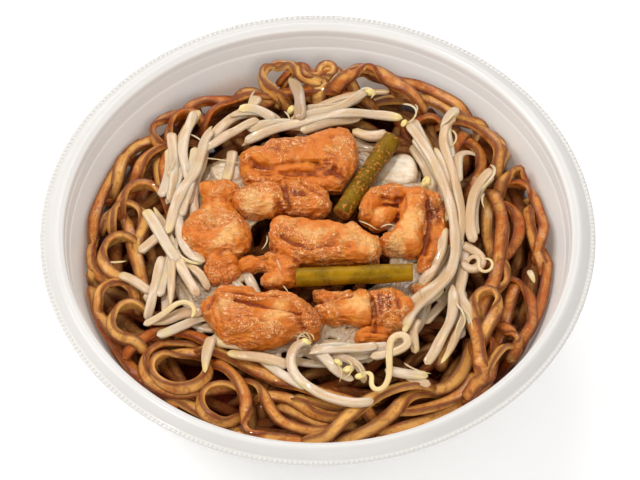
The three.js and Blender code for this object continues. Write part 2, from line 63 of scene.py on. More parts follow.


# ---------------------------------------------------------------- layout, in millimetres

# A strand is [x, y, z, heading, length, [turns]]: its middle line starts at x, y, sets off at the
# heading and bends by each turn in degrees over an equal share of its length, about z above the
# table. Lower strands come first, and longer ones bridge what lies below them.
NOODLES = [
    [-72, -30, 34, -60, 41, [0, 5, 10, 15, 25]],
    [-65, 47, 35, -145, 37, [25, 10, 5, 5, 5]],
    [-48, -58, 35, -35, 24, [0, 5, 10]],
    [22, -72, 35, 10, 39, [10, 5, 5, 10, 10]],
    [74, 14, 35, -95, 44, [25, 0, -15, -10, -5, -10]],
    [-57, 50, 36, -155, 22, [10, 45, 0]],
    [-77, 7, 36, -105, 18, [30, 50]],
    [72, 20, 36, -90, 21, [10, 5, 5]],
    [-80, -17, 37, -40, 31, [-20, 5, 25, 20]],
    [-12, -62, 37, -25, 24, [-5, 10, 30]],
    [27, -64, 37, -10, 33, [20, 15, 20, 35]],
    [62, -26, 37, -55, 18, [5, -10]],
    [-28, 69, 37, 55, 12, [-125]],
    [-42, 61, 38, 170, 26, [25, 60, 60]],
    [-72, 18, 38, 85, 42, [-150, -5, 5, -5, 0]],
    [-63, 7, 38, 140, 35, [75, 70, 30, -5]],
    [-43, -36, 38, 170, 58, [20, 45, 55, 35, 35, 20, 0]],
    [-27, -56, 38, 140, 35, [55, 70, 60, 80]],
    [-18, -58, 38, 0, 32, [-20, -25, 30, 45]],
    [-6, -60, 38, -25, 24, [10, 15, 35]],
    [10, -76, 38, 20, 62, [5, 20, 10, -40, 0, 35, 20, 10]],
    [65, -8, 38, -5, 30, [-55, -20, -10, -15]],
    [60, 27, 38, 85, 42, [-75, -55, -30, -15, -10]],
    [55, 53, 38, 55, 27, [-100, -65, -20]],
    [-6, 62, 38, 15, 14, [-15, -15]],
    [35, 59, 38, 35, 24, [-70, -25, -30]],
    [32, 57, 38, -45, 12, [-30]],
    [-44, 61, 39, 60, 29, [-40, -30, 40, -30]],
    [-61, 36, 39, 80, 23, [-35, -30, -15]],
    [-54, 40, 39, -90, 18, [10, 10]],
    [-70, 17, 39, 95, 26, [-105, -75, -20]],
    [-75, -19, 39, 100, 20, [-85, -95]],
    [-63, -38, 39, 45, 35, [-25, -30, -20, -10]],
    [-23, -53, 39, -25, 40, [-50, 20, 30, 20, 30]],
    [67, -13, 39, -105, 42, [5, -5, -10, 25, -15]],
    [63, 23, 39, -15, 30, [-55, -25, -25, -30]],
    [46, 56, 39, 0, 26, [-30, -25, -50]],
    [51, 48, 39, -20, 23, [-55, -35, 5]],
    [17, 64, 39, 35, 41, [-25, -20, -15, -25, 45]],
    [-19, 63, 39, 35, 37, [-10, -40, 20, -20, -15]],
    [72, 37, 39, 175, 14, [50, 25]],
    [49, 49, 39, -120, 8, [10]],
    [-40, 56, 40, 110, 16, [95, 60]],
    [-38, 56, 40, 70, 45, [-40, -5, -20, 5, 5, -15]],
    [-49, 44, 40, -140, 25, [45, 15, 10]],
    [-67, 22, 40, 85, 25, [-60, -70, -25]],
    [-42, -41, 40, 175, 48, [10, 60, 60, 45, 45, 55]],
    [-34, -47, 40, -30, 49, [-25, -20, -25, 65, 35, -30]],
    [57, 26, 40, -75, 24, [-15, 0, 15]],
    [63, -3, 40, -55, 46, [-40, -75, 50, 20, 0, -15]],
    [-2, 69, 40, -20, 57, [55, -10, -45, 0, 0, -20, -15]],
    [-9, 75, 40, 75, 15, [-115, -30]],
    [2, 71, 40, 145, 17, [-150, -50]],
    [-60, -22, 41, 135, 28, [90, 55, 70]],
    [-37, -41, 41, -20, 57, [-5, -5, 5, 0, 0, 5, 0]],
    [-1, -79, 41, 20, 43, [25, 0, -10, -15, -15]],
    [53, -39, 41, 125, 34, [-155, -65, 0, -15]],
    [60, 24, 41, -60, 51, [-20, -15, 0, -5, -15, 15]],
    [8, 72, 41, 65, 22, [-40, -60, -10]],
    [-9, 76, 41, 65, 15, [-115, 10]],
    [1, 72, 41, 135, 20, [-100, -170, 45]],
    [-16, 67, 42, 150, 33, [-65, -85, -55, 45]],
    [-14, 65, 42, 165, 34, [-70, -75, -75, 95]],
    [8, 71, 42, 35, 31, [5, -90, 20, -15]],
    [54, -34.5, 45, 90, 38, [10, -10, -25, -35, -70, -55, -15, 0, 0]],
    [53.5, -33.5, 43.5, -75, 26, [-5, -5, 0, 5, 0, -5]],
    [63.5, -31, 40.5, -40, 13, [-5, -5, 5]],
    [58, -50.5, 42, 70, 10, [-10, -5]],
]

# A sprout may end with how far sauce has stained it, from 0 to 1.
SPROUTS = [
    [-57, -19, 43, 135, 14, [5, 10]],
    [-20, 64, 43, -120, 8, [0]],
    [51, 1, 43, -100, 43, [5, -5, 45, -25, 10]],
    [30, -55, 43, -20, 9, [5]],
    [4, -45, 43, -5, 18, [-30, -55]],
    [-35, -39, 43, -20, 13, [10, 10]],
    [43, -17, 43, -135, 12, [-5, -10]],
    [-50, 48, 44, -85, 30, [0, -5, -5, -5]],
    [-29, 42, 44, -95, 14, [-5, -5]],
    [-61, -2, 44, 40, 16, [5, 5]],
    [-53, -4, 44, -105, 27, [5, 0, -5]],
    [-46, -7, 44, -25, 14, [-25, -20]],
    [-55, -36, 44, 15, 21, [15, -5, -30]],
    [-36, -38, 44, -110, 15, [10, 10]],
    [38, 37, 44, -70, 36, [5, -5, -10, -20]],
    [49, 1, 44, -35, 21, [0, -100, -150]],
    [-21, -44, 44, -45, 23, [0, 5, 15]],
    [23, -52, 44, -20, 15, [10, 5]],
    [-48, 4, 44, -100, 26, [-5, 0, 5]],
    [-31, -44, 44, -15, 22, [5, -5, -15]],
    [-48, 7, 44, -65, 16, [10, 15]],
    [-42, 57, 45, -105, 40, [-5, 15, 20, -5, -30]],
    [-23, 56, 45, 170, 20, [45, 20, 0]],
    [-59, 15, 45, -60, 26, [-5, 0, 10]],
    [-48, 13, 45, -80, 24, [-5, 20, 55]],
    [-50, -6, 45, -90, 19, [0, -5]],
    [-48, -6, 45, -70, 17, [5, 5]],
    [-58, -32, 45, -5, 20, [45, -65]],
    [-30, 54, 45, 35, 19, [-40, -40]],
    [12, 50, 45, -45, 13, [35, 35]],
    [54, 38, 45, 125, 18, [145, 5]],
    [33, 45, 45, -55, 30, [-5, -5, -10, -5]],
    [46, -16, 45, -85, 35, [-5, -25, 5, -15]],
    [-2, -42, 45, -45, 20, [-10, 35]],
    [0, -43, 45, -5, 25, [5, 5, 5]],
    [35, -30, 45, -140, 15, [55, -5]],
    [-24, 49, 45, 20, 21, [-10, -15, -30]],
    [-6, 48, 45, 20, 22, [0, 0, -10]],
    [-42, 41, 45, -90, 30, [-5, -5, -5, 0]],
    [40, 41, 45, -65, 43, [-10, -5, 5, -5, -15]],
    [44, 7, 45, -100, 25, [-5, -10, -15]],
    [-3, -46, 45, 25, 24, [-20, -5, 15]],
    [-36, 48, 46, -130, 47, [30, -5, -20, 15, 10, -5]],
    [-20, 52, 46, -165, 23, [20, 5, -10]],
    [-25, 44, 46, 25, 56, [-5, -5, 5, -5, -10, -10, -10]],
    [-6, 53, 46, 20, 27, [-10, 30, 10]],
    [47, 54, 46, -145, 56, [45, 25, 0, -5, 0, -10, -10]],
    [60, 32, 46, -140, 34, [25, 15, 10, 15]],
    [-2, -42, 46, 160, 48, [85, 50, 25, 15, 15, 30]],
    [-27, 56, 46, 30, 14, [-55, -20]],
    [-6, 51, 47, 90, 20, [0, 15, 20], 0.42],
    [31, 50, 47, -60, 96, [0, -5, -5, -5, -5, -5, -5, -15, -25, -5, 15, 25]],
]

# Thin roots and threads, each with its thickness last.
ROOTS = [
    [42, 50, 46, 20, 8, [30, 20], 1.3],
    [45.5, 49, 45, -35, 10, [-35, -40, -60], 0.9],
    [29, 59, 46, 0, 14, [-30, -60, -50, -15], 0.9],
    [33, 59, 46, -35, 6, [-50, -45], 0.7],
    [57, 21.5, 46, -120, 7, [25, 30], 0.9],
    [59, 33.5, 46, -25, 16, [-55, -30, -5, -5, -5], 1.1],
    [50.5, -28, 45, -125, 13, [10, 5, 10, 5], 0.8],
    [47.5, -25.5, 45, -30, 12, [-20, -20, -20], 0.9],
    [14, 63.5, 46, 85, 9, [-75, -55, -90], 1.2],
    [-11.5, 56, 46, -50, 5, [-25], 0.8],
    [-6.5, 56, 46, -120, 6, [0, 0], 0.8],
    [7.5, 75, 43, -120, 6, [-5, 0], 0.5],
    [-17.5, 3, 47, -65, 7, [-35, -35], 0.6],
    [-14, -9, 50, -85, 6, [10, 10], 0.6],
    [14, 7, 50, -35, 8, [0, 5], 0.6],
    [21.5, 4, 50, 30, 5, [-40], 0.7],
    [34.5, -19, 46, -65, 5, [0], 0.7],
    [-8.5, -36, 46, -35, 7, [-5, -10], 0.7],
    [-7.5, -35.5, 46, -20, 8, [-25, -20], 0.8],
    [-8.5, -38.5, 46, -35, 6, [20, 15], 0.6],
    [-7, -41, 46, 90, 9, [-45, -60, -70], 1.0],
    [-71, -6, 44, -40, 6, [35, 35], 1.0],
    [-21.5, 67, 43, -110, 7, [0, 0], 0.9],
    [-12, -18, 47, -65, 5, [5], 0.6],
    [9, -48.5, 46, -15, 11, [-50, -40, -60], 0.8],
    [11.5, -49, 46, -40, 9, [-15, -15, -10], 0.7],
    [6.5, -51, 46, -40, 8, [-40, -35], 0.7],
    [47, -23, 46, -90, 14, [25, 0, -25, -35], 0.8],
    [-41.5, 37.5, 45, -15, 17, [0, 5, 0, 5, 5], 0.6],
    [-43.5, 47, 45, -35, 8, [-10, -15], 0.7],
    [29.5, -50, 46, -60, 11, [20, 20, 20], 0.7],
    [36.5, 28.5, 47, -25, 9, [-90, -50], 0.9],
    [38.5, 27.5, 47, -50, 7, [-40, -45], 0.8],
    [51.5, -7.5, 45.5, 110, 22, [-60, -110, -45, 40, 70, 65, 30, 50, 95], 1.7],
    [18, -47.5, 46, 5, 56, [5, 0, 5, 5, 15, 45, 55, 60, 40, 30, 5, 0, 5, 0, -5, -10, -10, -20, -70, -60,
     -15, 50, 115], 3.4],
    [-59.5, -34, 46, 20, 25, [10, 10, 5, -40, -75, -65], 2.8],
    [-49.5, 1.5, 45, -95, 16, [25, 25, 25, 35], 1.8],
    [72, -8.5, 42.5, -70, 6, [0, 0], 2.6],
]

# Heads of sprouts: x, y, z, heading and length.
HEADS = [
    [18, 64, 46, -30, 4.2],
    [37, 25, 47.5, 70, 4.6],
    [-9, 56.5, 46, 60, 4.0],
    [10.5, -53, 46, 20, 4.2],
    [7, -50, 46, -40, 3.6],
    [14.5, -55.5, 45.5, 10, 3.8],
    [-4, -42, 47, -20, 3.8],
    [29.5, 50.5, 46.5, 60, 3.2],
]


class Slab(NamedTuple):
    """A flat lump: its outline from above, its base, its top and the reach of its rounded edge."""

    outline: list
    base: float
    top: float
    edge: float


MEAT = {
    "meat_top": [
        Slab(
            [(-26, 36), (-23.5, 39.5), (-19, 40), (-16, 42.5), (-8.5, 43), (-3.5, 44), (1, 46),
             (5.5, 47.5), (8.5, 47.5), (11, 46), (13, 42), (14, 37), (13.5, 32), (11.5, 28), (9.5, 26),
             (7, 27.5), (3, 29.5), (-2.5, 29.5), (-7.5, 29.5), (-13, 29.5), (-19, 31), (-23, 31.5),
             (-25.5, 33)],
            42.5, 52, 5,
        ),
        Slab(
            [(-26.5, 33), (-23, 34), (-17, 32.5), (-11, 31), (-6, 31.5), (1, 31.5), (6, 30.5), (10, 27),
             (8, 23.5), (4, 24), (0, 24), (-4.5, 24.5), (-9.5, 25.5), (-15.5, 25), (-21.5, 25.5),
             (-25, 27)],
            40.5, 48.5, 3,
        ),
    ],
    "meat_mid_left": [
        Slab(
            [(-29, 20), (-26.5, 22.5), (-23, 24.5), (-19, 25.5), (-14.5, 25), (-12, 24), (-10.5, 21.5),
             (-10, 18.5), (-9.5, 16), (-11, 14), (-14, 13), (-15.5, 12), (-19, 12), (-23, 12),
             (-26, 13), (-27.5, 15), (-29, 17)],
            41.5, 51.5, 5,
        ),
        Slab(
            [(-13, 25.5), (-8.5, 26.5), (-5, 26), (-1, 24.5), (1.5, 23), (4, 20.5), (4.5, 16),
             (3.5, 13.5), (0, 12), (-4.5, 12), (-8.5, 13), (-12, 14.5), (-13, 19)],
            41.5, 50.5, 3.5,
        ),
    ],
    "meat_left": [
        Slab(
            [(-40.5, 24.5), (-38, 26), (-34, 26.5), (-30, 26), (-27, 24), (-27, 21.5), (-29, 19.5),
             (-30.5, 16.5), (-34.5, 15.5), (-38, 17), (-39.5, 21)],
            41.5, 50.5, 4.5,
        ),
        Slab(
            [(-38.5, 15.5), (-36, 17), (-31.5, 17), (-28.5, 14), (-26, 10.5), (-24, 7.5), (-22.5, 3.5),
             (-23, 0), (-25.5, -2), (-28, -4), (-30.5, -5.5), (-35.5, -6), (-40, -4), (-44, -1.5),
             (-46, 2), (-46.5, 6.5), (-45, 10), (-41.5, 13)],
            40.5, 50.5, 5.5,
        ),
        Slab(
            [(-38.5, -5.5), (-32.5, -5.5), (-28, -7.5), (-26.5, -10), (-27.5, -12.5), (-30.5, -14.5),
             (-34, -15), (-37, -14), (-38.5, -10)],
            40.2, 47.5, 3.5,
        ),
        Slab(
            [(-38.5, 18), (-35, 20.5), (-31, 19.5), (-29, 15.5), (-31, 12), (-36, 12), (-39.5, 14)],
            41, 49.6, 3,
        ),
        Slab(
            [(-37, -3), (-31, -2), (-28, -5), (-28.5, -9), (-34, -11), (-38, -8.5)],
            40.5, 48.6, 2.5,
        ),
    ],
    "meat_centre": [
        Slab(
            [(-15, 7.5), (-11.5, 9), (-6, 8), (-2, 7), (4, 6.5), (9.5, 5.5), (11.5, 6.5), (14, 5.5),
             (17, 3), (19.5, 1), (20.8, 0), (21, -5), (20.8, -9), (18, -9.2), (11, -9), (4, -9),
             (-2.5, -9), (-6.5, -9), (-10, -7.5), (-13, -5.5), (-15.5, -3), (-16.5, 0.5), (-16, 4)],
            42.2, 53.3, 2.8,
        ),
        Slab(
            [(-27.5, -6.5), (-24, -4.5), (-19.5, -4), (-15.5, -2), (-11.5, -2.5), (-9.5, -6),
             (-11.5, -9), (-14.5, -8.5), (-19, -9), (-24, -10), (-27, -9)],
            41.5, 48, 3.2,
        ),
        Slab(
            [(-19, -13.5), (-15.5, -11.5), (-12, -9), (-8.5, -8.5), (-6.5, -11.5), (-7, -15.5),
             (-11, -16.5), (-16.5, -16.5), (-19, -15.5)],
            41.5, 48.3, 3,
        ),
        Slab(
            [(-19, -5), (-13, -2), (-8, -4), (-6, -9), (-8, -13), (-13, -13.5), (-17, -10)],
            41.5, 49.5, 3,
        ),
    ],
    "meat_right": [
        Slab(
            [(28, 22), (34.5, 22.5), (38.5, 21), (41.5, 19.5), (42, 16.5), (40.5, 14), (37.5, 12),
             (37.5, 7.5), (37, 2.5), (35.5, -2), (34, -4.5), (30.5, -4.5), (27.5, -3.5), (24, -3),
             (21.5, -0.5), (22.5, 3), (25.5, 5.5), (27, 9), (28, 12.5), (28, 15.5), (27, 18.5)],
            41.2, 52, 4.5,
        ),
        Slab(
            [(15, 11), (14, 15), (16, 19), (18, 22), (22, 24), (26, 25), (29.5, 24), (30, 19),
             (27.5, 16.5), (23, 16.5), (20.5, 16), (19.5, 14), (19, 11), (17, 9.5)],
            41, 50, 3.5,
        ),
        Slab(
            [(18, 14.5), (21.5, 16), (24.5, 16), (28, 15.5), (27.5, 12.5), (25, 10), (22.5, 8.5),
             (19.5, 8), (17.5, 10)],
            40.5, 47.8, 3,
        ),
        Slab(
            [(37, 19.5), (41, 21), (43, 18), (44, 13.5), (45, 8), (44.5, 3.5), (42, -1.5), (39.5, -6),
             (37, -10.5), (34.5, -9.5), (34.5, -5), (35.5, -0.5), (36.5, 5), (36.5, 13)],
            40.5, 47, 2.5,
        ),
    ],
    "meat_front_left": [
        Slab(
            [(-36, -25.5), (-35.5, -22), (-32.5, -20), (-28, -19), (-23, -19.5), (-20.5, -21.5),
             (-18, -22), (-14.5, -21.5), (-10, -22.5), (-6.5, -24), (-3.5, -25.5), (-1.5, -28),
             (0, -31), (1, -35.5), (0, -38), (-2.5, -39), (-5.5, -38), (-9, -39), (-12.5, -41),
             (-17, -42), (-22.5, -42.5), (-28, -41.5), (-32, -40), (-34.5, -37), (-36.5, -32.5),
             (-37, -29)],
            40, 53, 6,
        ),
        Slab(
            [(-39.5, -24.5), (-37, -21.5), (-35, -23), (-35, -30), (-37.5, -30.5), (-39, -28)],
            41, 48, 2.5,
        ),
    ],
    "meat_front": [
        Slab(
            [(-1, -26.5), (2.5, -24.5), (6.5, -23.5), (11, -21), (14.5, -20), (17.5, -20.5),
             (18, -23.5), (17.5, -26), (18.5, -29.5), (18, -32.5), (14.5, -33), (10.5, -32.5),
             (6.5, -32.5), (2, -31.5), (-0.5, -29)],
            41.5, 49.8, 3.2,
        ),
        Slab(
            [(-2, -20), (1, -19), (4, -19.5), (8.5, -20), (11.5, -19), (11.5, -22), (7.5, -23.5),
             (3.5, -24.5), (0, -23.5)],
            41.5, 48, 2.2,
        ),
    ],
    "meat_front_right": [
        Slab(
            [(18, -21), (21.5, -18.5), (25.5, -18), (28, -20), (30.5, -22), (32.5, -24.5), (33, -27.5),
             (31, -30), (29, -32.5), (28.5, -35), (25.5, -35.5), (21.5, -34.5), (18.5, -33.5),
             (18, -29), (17, -25.5)],
            41, 49.8, 3.6,
        ),
        Slab(
            [(14, -34.5), (18, -33), (22.5, -33), (26, -35), (25.5, -37.5), (23.5, -39), (18.5, -39.5),
             (14, -39.5), (12.5, -37)],
            39.8, 46.5, 3,
        ),
    ],
    "meat_scrap": [
        Slab(
            [(31.5, -16), (34.5, -14), (37.5, -13.5), (40, -15.5), (38.5, -19), (35.5, -20),
             (33, -18.5)],
            40.5, 45, 2,
        ),
    ],
}

# Folds pressed into a piece of meat from above: the line of [x, y], the depth (below 0 for a
# raised edge) and the half width.
FOLDS = {
    "meat_top": [
        ([(-23, 32.5), (-19.5, 30.5), (-14.5, 30), (-9.5, 31), (-4, 31.5), (0, 31)], 1.5, 0.8),
        ([(-21.5, 29.5), (-16.5, 29.5), (-9.5, 30), (-2.5, 29.5), (4, 29)], -1.0, 0.9),
        ([(-7.5, 29), (-4.5, 28), (-1, 28.5)], 0.9, 1.1),
        ([(0, 30), (3, 28.5), (5.5, 29)], 1.0, 1.0),
        ([(-19, 28), (-13, 28.5), (-7.5, 27.5)], 0.8, 0.7),
        ([(4.5, 43.5), (5.5, 36.5), (6.5, 30.5)], 0.5, 1.2),
    ],
    "meat_mid_left": [
        ([(-11.5, 23), (-10.5, 18.5), (-9.5, 13)], 1.5, 0.9),
        ([(-10, 21.5), (-7.5, 19), (-4.5, 19)], 1.3, 1.5),
        ([(-9, 16.5), (-5, 17)], -0.5, 1.0),
        ([(-13, 14), (-11.5, 12)], 1.1, 1.2),
        ([(-5, 23.5), (-2.5, 21), (1, 18.5)], 0.9, 0.8),
    ],
    "meat_left": [
        ([(-39, 17.5), (-35.5, 16.5), (-30.5, 17.5)], 0.5, 1.2),
        ([(-42, -2), (-38, -5), (-33.5, -5), (-28.5, -3.5)], 0.5, 1.1),
        ([(-41.5, 2.5), (-38, 5.5), (-32.5, 5.5)], 0.5, 1.0),
        ([(-38, -7), (-33.5, -6), (-28, -8)], 0.4, 1.0),
    ],
    "meat_centre": [
        ([(-12, -1), (-8, -3.5), (-4.5, -5.5), (-2, -6.5)], 1.6, 1.0),
        ([(-6, -6.5), (-2, -4.5), (2.5, -4), (6.5, -1)], -0.8, 1.0),
        ([(9, -3.5), (14.5, -3.5), (20, -3)], 0.5, 0.9),
        ([(0, -6), (6, -4.5), (11, -5)], 0.7, 0.9),
        ([(-14, -1), (-11, -4.5), (-7.5, -8.5)], 0.7, 1.1),
        ([(9.5, 4), (11.5, 1.5), (15, -0.5)], 0.6, 0.8),
    ],
    "meat_right": [
        ([(29.5, 15.5), (28, 11), (27, 6), (23.5, 1)], 1.4, 0.9),
        ([(37.5, 18), (38.5, 12), (37.5, 4.5), (36.5, -4)], 1.4, 1.1),
        ([(22.5, 17.5), (26, 16), (29, 17.5)], 1.6, 1.2),
        ([(27.5, -0.5), (29.5, -4), (32, -6.5)], 0.8, 0.9),
        ([(41, 18), (42.5, 13), (43, 8)], -0.7, 0.6),
        ([(35, 18), (39, 17)], 0.5, 0.9),
    ],
    "meat_front_left": [
        ([(-33, -23.5), (-28, -24.5), (-23, -25.5), (-19, -26), (-14, -26)], 1.3, 0.8),
        ([(-28, -27.5), (-23, -29), (-17.5, -30.5), (-11.5, -31.5), (-6, -33.5)], 1.9, 0.9),
        ([(-26.5, -26.5), (-19, -28), (-11.5, -28.5), (-6, -30.5)], -0.7, 0.8),
        ([(-8.5, -31), (-6, -36), (-4, -40.5)], 1.1, 1.1),
        ([(-19, -36.5), (-14, -35), (-10, -36.5)], 0.7, 1.0),
        ([(-35.5, -24.5), (-34.5, -32), (-32, -39)], 0.6, 1.0),
    ],
    "meat_front": [
        ([(0, -25.5), (4, -26), (8.5, -24.5), (11.5, -23.5)], 1.3, 0.8),
        ([(17, -23), (17, -28.5), (18, -34.5)], -0.8, 0.8),
        ([(6.5, -26), (8.5, -30.5), (8.5, -35.5)], 0.5, 1.1),
    ],
    "meat_front_right": [
        ([(18, -24.5), (19, -29.5), (19.5, -36)], 1.4, 1.0),
        ([(21.5, -21.5), (21, -26.5), (21.5, -31.5)], 0.5, 0.9),
        ([(24, -21.5), (25, -26.5), (24, -30.5)], 0.4, 0.6),
        ([(27, -22.5), (28, -27.5), (29, -33)], 0.8, 0.9),
        ([(20.5, -34), (24, -31.5), (27, -33), (28.5, -36)], -1.0, 0.6),
        ([(14, -36), (18.5, -36), (23.5, -37), (27, -37.5)], 1.2, 0.9),
    ],
}

# Spots of a piece of meat that are bare and pale (above 0) or deep red (below 0): x, y, radius
# and how much.
TONES = {
    "meat_top": [
        (-6, 29.5, 5, 0.35), (-16.5, 29.5, 5, 0.3), (9.5, 36.5, 5, 0.15), (-4.5, 28.5, 4, -0.5),
        (3, 29.5, 4, -0.5), (7.5, 27, 4, -0.6), (-13, 35.5, 8, -0.25),
    ],
    "meat_mid_left": [
        (-21, 15.5, 5.5, 0.7), (-16.5, 14, 3, 0.5), (-7.5, 19.5, 3, -0.8), (-12, 14, 2.5, -0.7),
        (-5, 13.5, 4, 0.1), (-24, 22, 3, -0.2), (-19, 12.5, 4, -0.3),
    ],
    "meat_left": [
        (-36, 20.5, 4, 0.2), (-32.5, 2, 5, 0.5), (-27, 2.5, 4, 0.4), (-36.5, 12, 5, 0.3),
        (-40, 2, 4, -0.2), (-32.5, -12.5, 4, -0.1), (-27, 22.5, 2.5, -0.4),
    ],
    "meat_centre": [
        (-6, -0.5, 3.5, 0.7), (0, -1, 4, 0.5), (11.5, -0.5, 6, 0.45), (18.5, -4, 3.5, 0.5),
        (-11.5, 0, 2.5, -0.5), (-6.5, -2.5, 2.5, -0.7), (4, -7, 6, -0.15), (-11.5, 6, 3, 0.4),
        (-14.5, -15.5, 4, 0.15), (-10, -14, 2, -0.6),
    ],
    "meat_right": [
        (33, 7, 5, 0.6), (31, -0.5, 5, 0.5), (26.5, -2.5, 4, 0.4), (23.5, 21, 4, -0.2),
        (21.5, 12.5, 3, 0.3), (26, 17, 2.5, -0.8), (39, 13, 3, -0.9), (38.5, 1, 4, -0.8),
        (36.5, -7, 3, -0.8), (32, -4.5, 2.5, -0.6),
    ],
    "meat_front_left": [
        (-32.5, -29.5, 4, 0.6), (-12, -31.5, 4, 0.55), (-14.5, -34, 4, 0.45), (-23, -35, 6, 0.05),
        (-23, -29, 4, -0.4), (-37.5, -27.5, 3, -0.7), (-4, -34, 4, -0.4), (0, -36, 2.5, -0.5),
        (-26.5, -38.5, 5, -0.2),
    ],
    "meat_front": [
        (14, -26.5, 4.5, 0.75), (11, -31.5, 3.5, 0.2), (4, -31.5, 3, -0.2), (4, -28, 3, 0.3),
        (9.5, -32.5, 4, -0.3),
    ],
    "meat_front_right": [
        (20.5, -27, 3.5, -1.0), (24.5, -25, 3, -0.5), (30, -28.5, 3.5, 0.1), (25.5, -34, 3, 0.3),
        (18.5, -38.5, 4, 0.0), (20, -32, 2.5, -0.8), (23.5, -20.5, 2, 0.5),
    ],
    "meat_scrap": [(35, -16, 3, 0.6)],
}

# The slices of onion under the sprouts.
ONIONS = {
    "onion_back": [
        Slab(
            [(19.5, 30), (21, 35), (24, 39), (28, 41), (32, 40), (34, 35), (33.5, 30), (29, 28),
             (23.5, 28)],
            38.8, 43.4, 1.8,
        ),
    ],
    "onion_right": [
        Slab(
            [(41, 6), (44, 7), (45, 2), (45, -4), (44, -10), (40.5, -15.5), (37.5, -17),
             (36, -12.5), (37.5, -5.5), (40, 1)],
            38.6, 42.4, 1.4,
        ),
    ],
    "onion_left": [
        Slab(
            [(-36.5, 35.5), (-32.5, 37.5), (-28, 36.5), (-26, 33.5), (-28, 30), (-32.5, 29.5),
             (-35.5, 31.5)],
            39.8, 42.8, 1.2,
        ),
    ],
}

# The two ends of each stem's middle line.
STEMS = {
    "stem_back": ((8, 12, 47.3), (25.5, 44.5, 47)),
    "stem_front": ((-7.5, -16, 49.2), (32.5, -14, 49.4)),
}


# ---------------------------------------------------------------- settings


def length(name, description, default):
    """A size, with its default in millimetres."""
    return FloatProperty(
        name=name, description=description, default=default * MM, min=0, unit="LENGTH", precision=4
    )


def whole(name, description, default):
    """A whole number."""
    return IntProperty(name=name, description=description, default=default, min=0)


def colour(name, description, default):
    return FloatVectorProperty(
        name=name, description=description, default=default, size=3, min=0, max=1, subtype="COLOR"
    )


class BowlSettings(bpy.types.PropertyGroup):
    rim_radius: length("Rim radius", "Outer edge of the lip", 95)
    crest_height: length("Rim height", "Top of the rim above the table", 52)
    wall: length("Wall", "Thickness of the wall", 2.1)
    steps: IntProperty(name="Steps", description="Facets round the bowl", default=240, min=24)
    ribs: whole("Ribs", "Small ribs round the lip", 336)
    foam: colour("Foam", "Colour of the foamed plastic", tint(205, 201, 196))
    # Sauce film and painted shade on the wall along the noodles.
    wall_sauce_and_shade: colour("Film", "Sauce on the wall along the noodles", tint(196, 162, 134))


class NoodleSettings(bpy.types.PropertyGroup):
    width: length("Width", "Width of a noodle", 4.7)
    thickness: length("Thickness", "Thickness of a noodle", 2.4)
    edge: length("Edge", "Rounding of a noodle's edges", 0.65)
    tries: whole("Tries", "Noodles tried under the top ones", 2200)
    edge_tries: whole("Tries at the edge", "Noodles tried along the wall", 240)
    seed: whole("Seed", "Seed of the noodles under the top ones", 11)
    light: colour("Light", "Thin, lit parts of a noodle", tint(238, 176, 92))
    brown: colour("Brown", "Body colour of a noodle", tint(188, 90, 18))
    # Also the painted shade on a noodle's edges and underside.
    dark: colour("Dark", "Where the sauce has gathered", tint(106, 26, 2))
    # Painted shade with sauce, for noodles low in the heap and under the meat.
    pool: colour("Pool", "Noodles deep in the bowl", tint(72, 12, 1))


class SproutSettings(bpy.types.PropertyGroup):
    width: length("Width", "Width of a sprout", 3.8)
    flatness: FloatProperty(
        name="Flatness", description="Thickness of a sprout as a share of its width", default=0.5
    )
    edge: length("Edge", "Rounding of a sprout's edges", 0.85)
    tries: whole("Tries", "Sprouts tried under the top ones", 900)
    companions: whole("Companions", "Sprouts beside each long top one", 1)
    seed: whole("Seed", "Seed of the sprouts under the top ones", 5)
    white: colour("White", "Body colour of a sprout", tint(200, 180, 153))
    yellow: colour("Yellow", "Yellowish parts of a sprout", tint(212, 192, 134))
    pink: colour("Pink", "Pinkish parts of a sprout", tint(206, 176, 150))
    clear: colour("Clear", "Where a sprout is glassy and takes the sauce", tint(196, 158, 114))
    # Painted shade with the meat's juice, for sprouts low in the heap and under the meat.
    below: colour("Below", "Sprouts under the meat, in its juice", tint(96, 44, 16))
    head: colour("Head", "Colour of heads and roots", tint(228, 200, 120))


class MeatSettings(bpy.types.PropertyGroup):
    voxel: length("Voxel", "Fineness of the meat's surface", 0.36)
    marinade: colour("Marinade", "Orange coat", tint(204, 108, 26))
    gold: colour("Gold", "Yellower parts of the coat", tint(208, 132, 34))
    # Also the painted shade in the folds.
    deep: colour("Deep", "Marinade gathered in folds", tint(120, 34, 5))
    pale: colour("Pale", "Bare meat", tint(226, 164, 92))
    # Pale specks that paint glints, partly fat.
    fat_and_glints: colour("Fat", "Grains of fat", tint(248, 204, 156))


class GreensSettings(bpy.types.PropertyGroup):
    stem_radius: length("Stem radius", "Radius of a garlic stem", 3.25)
    green: colour("Green", "Side of a stem", tint(158, 113, 3))
    cut: colour("Cut", "Cut end of a stem", tint(150, 96, 40))
    sauce: colour("Sauce", "Sauce and grains on a stem", tint(206, 120, 52))
    onion: colour("Onion", "A slice of onion", tint(226, 208, 180))
    clear: colour("Clear", "Where an onion is glassy", tint(204, 172, 132))


class StageSettings(bpy.types.PropertyGroup):
    elevation: FloatProperty(
        name="Elevation",
        description="How far the camera looks down",
        default=math.radians(54.1),
        subtype="ANGLE",
    )
    distance: FloatProperty(name="Distance", description="Camera to bowl", default=1, unit="LENGTH")
    view_width: length("View width", "Width of the picture at the bowl", 218.6)
    floor: colour("Floor", "Colour of the floor", (0.95, 0.95, 0.95))


# ---------------------------------------------------------------- node trees


class Wire:
    """A socket of a node tree, on which Python's arithmetic adds Math nodes."""

    def __init__(self, tree, socket):
        self.tree = tree
        self.socket = socket

    def __add__(self, other):
        return self.tree.math("ADD", self, other)

    def __sub__(self, other):
        return self.tree.math("SUBTRACT", self, other)

    def __rsub__(self, other):
        return self.tree.math("SUBTRACT", other, self)

    def __mul__(self, other):
        return self.tree.math("MULTIPLY", self, other)

    __radd__ = __add__
    __rmul__ = __mul__


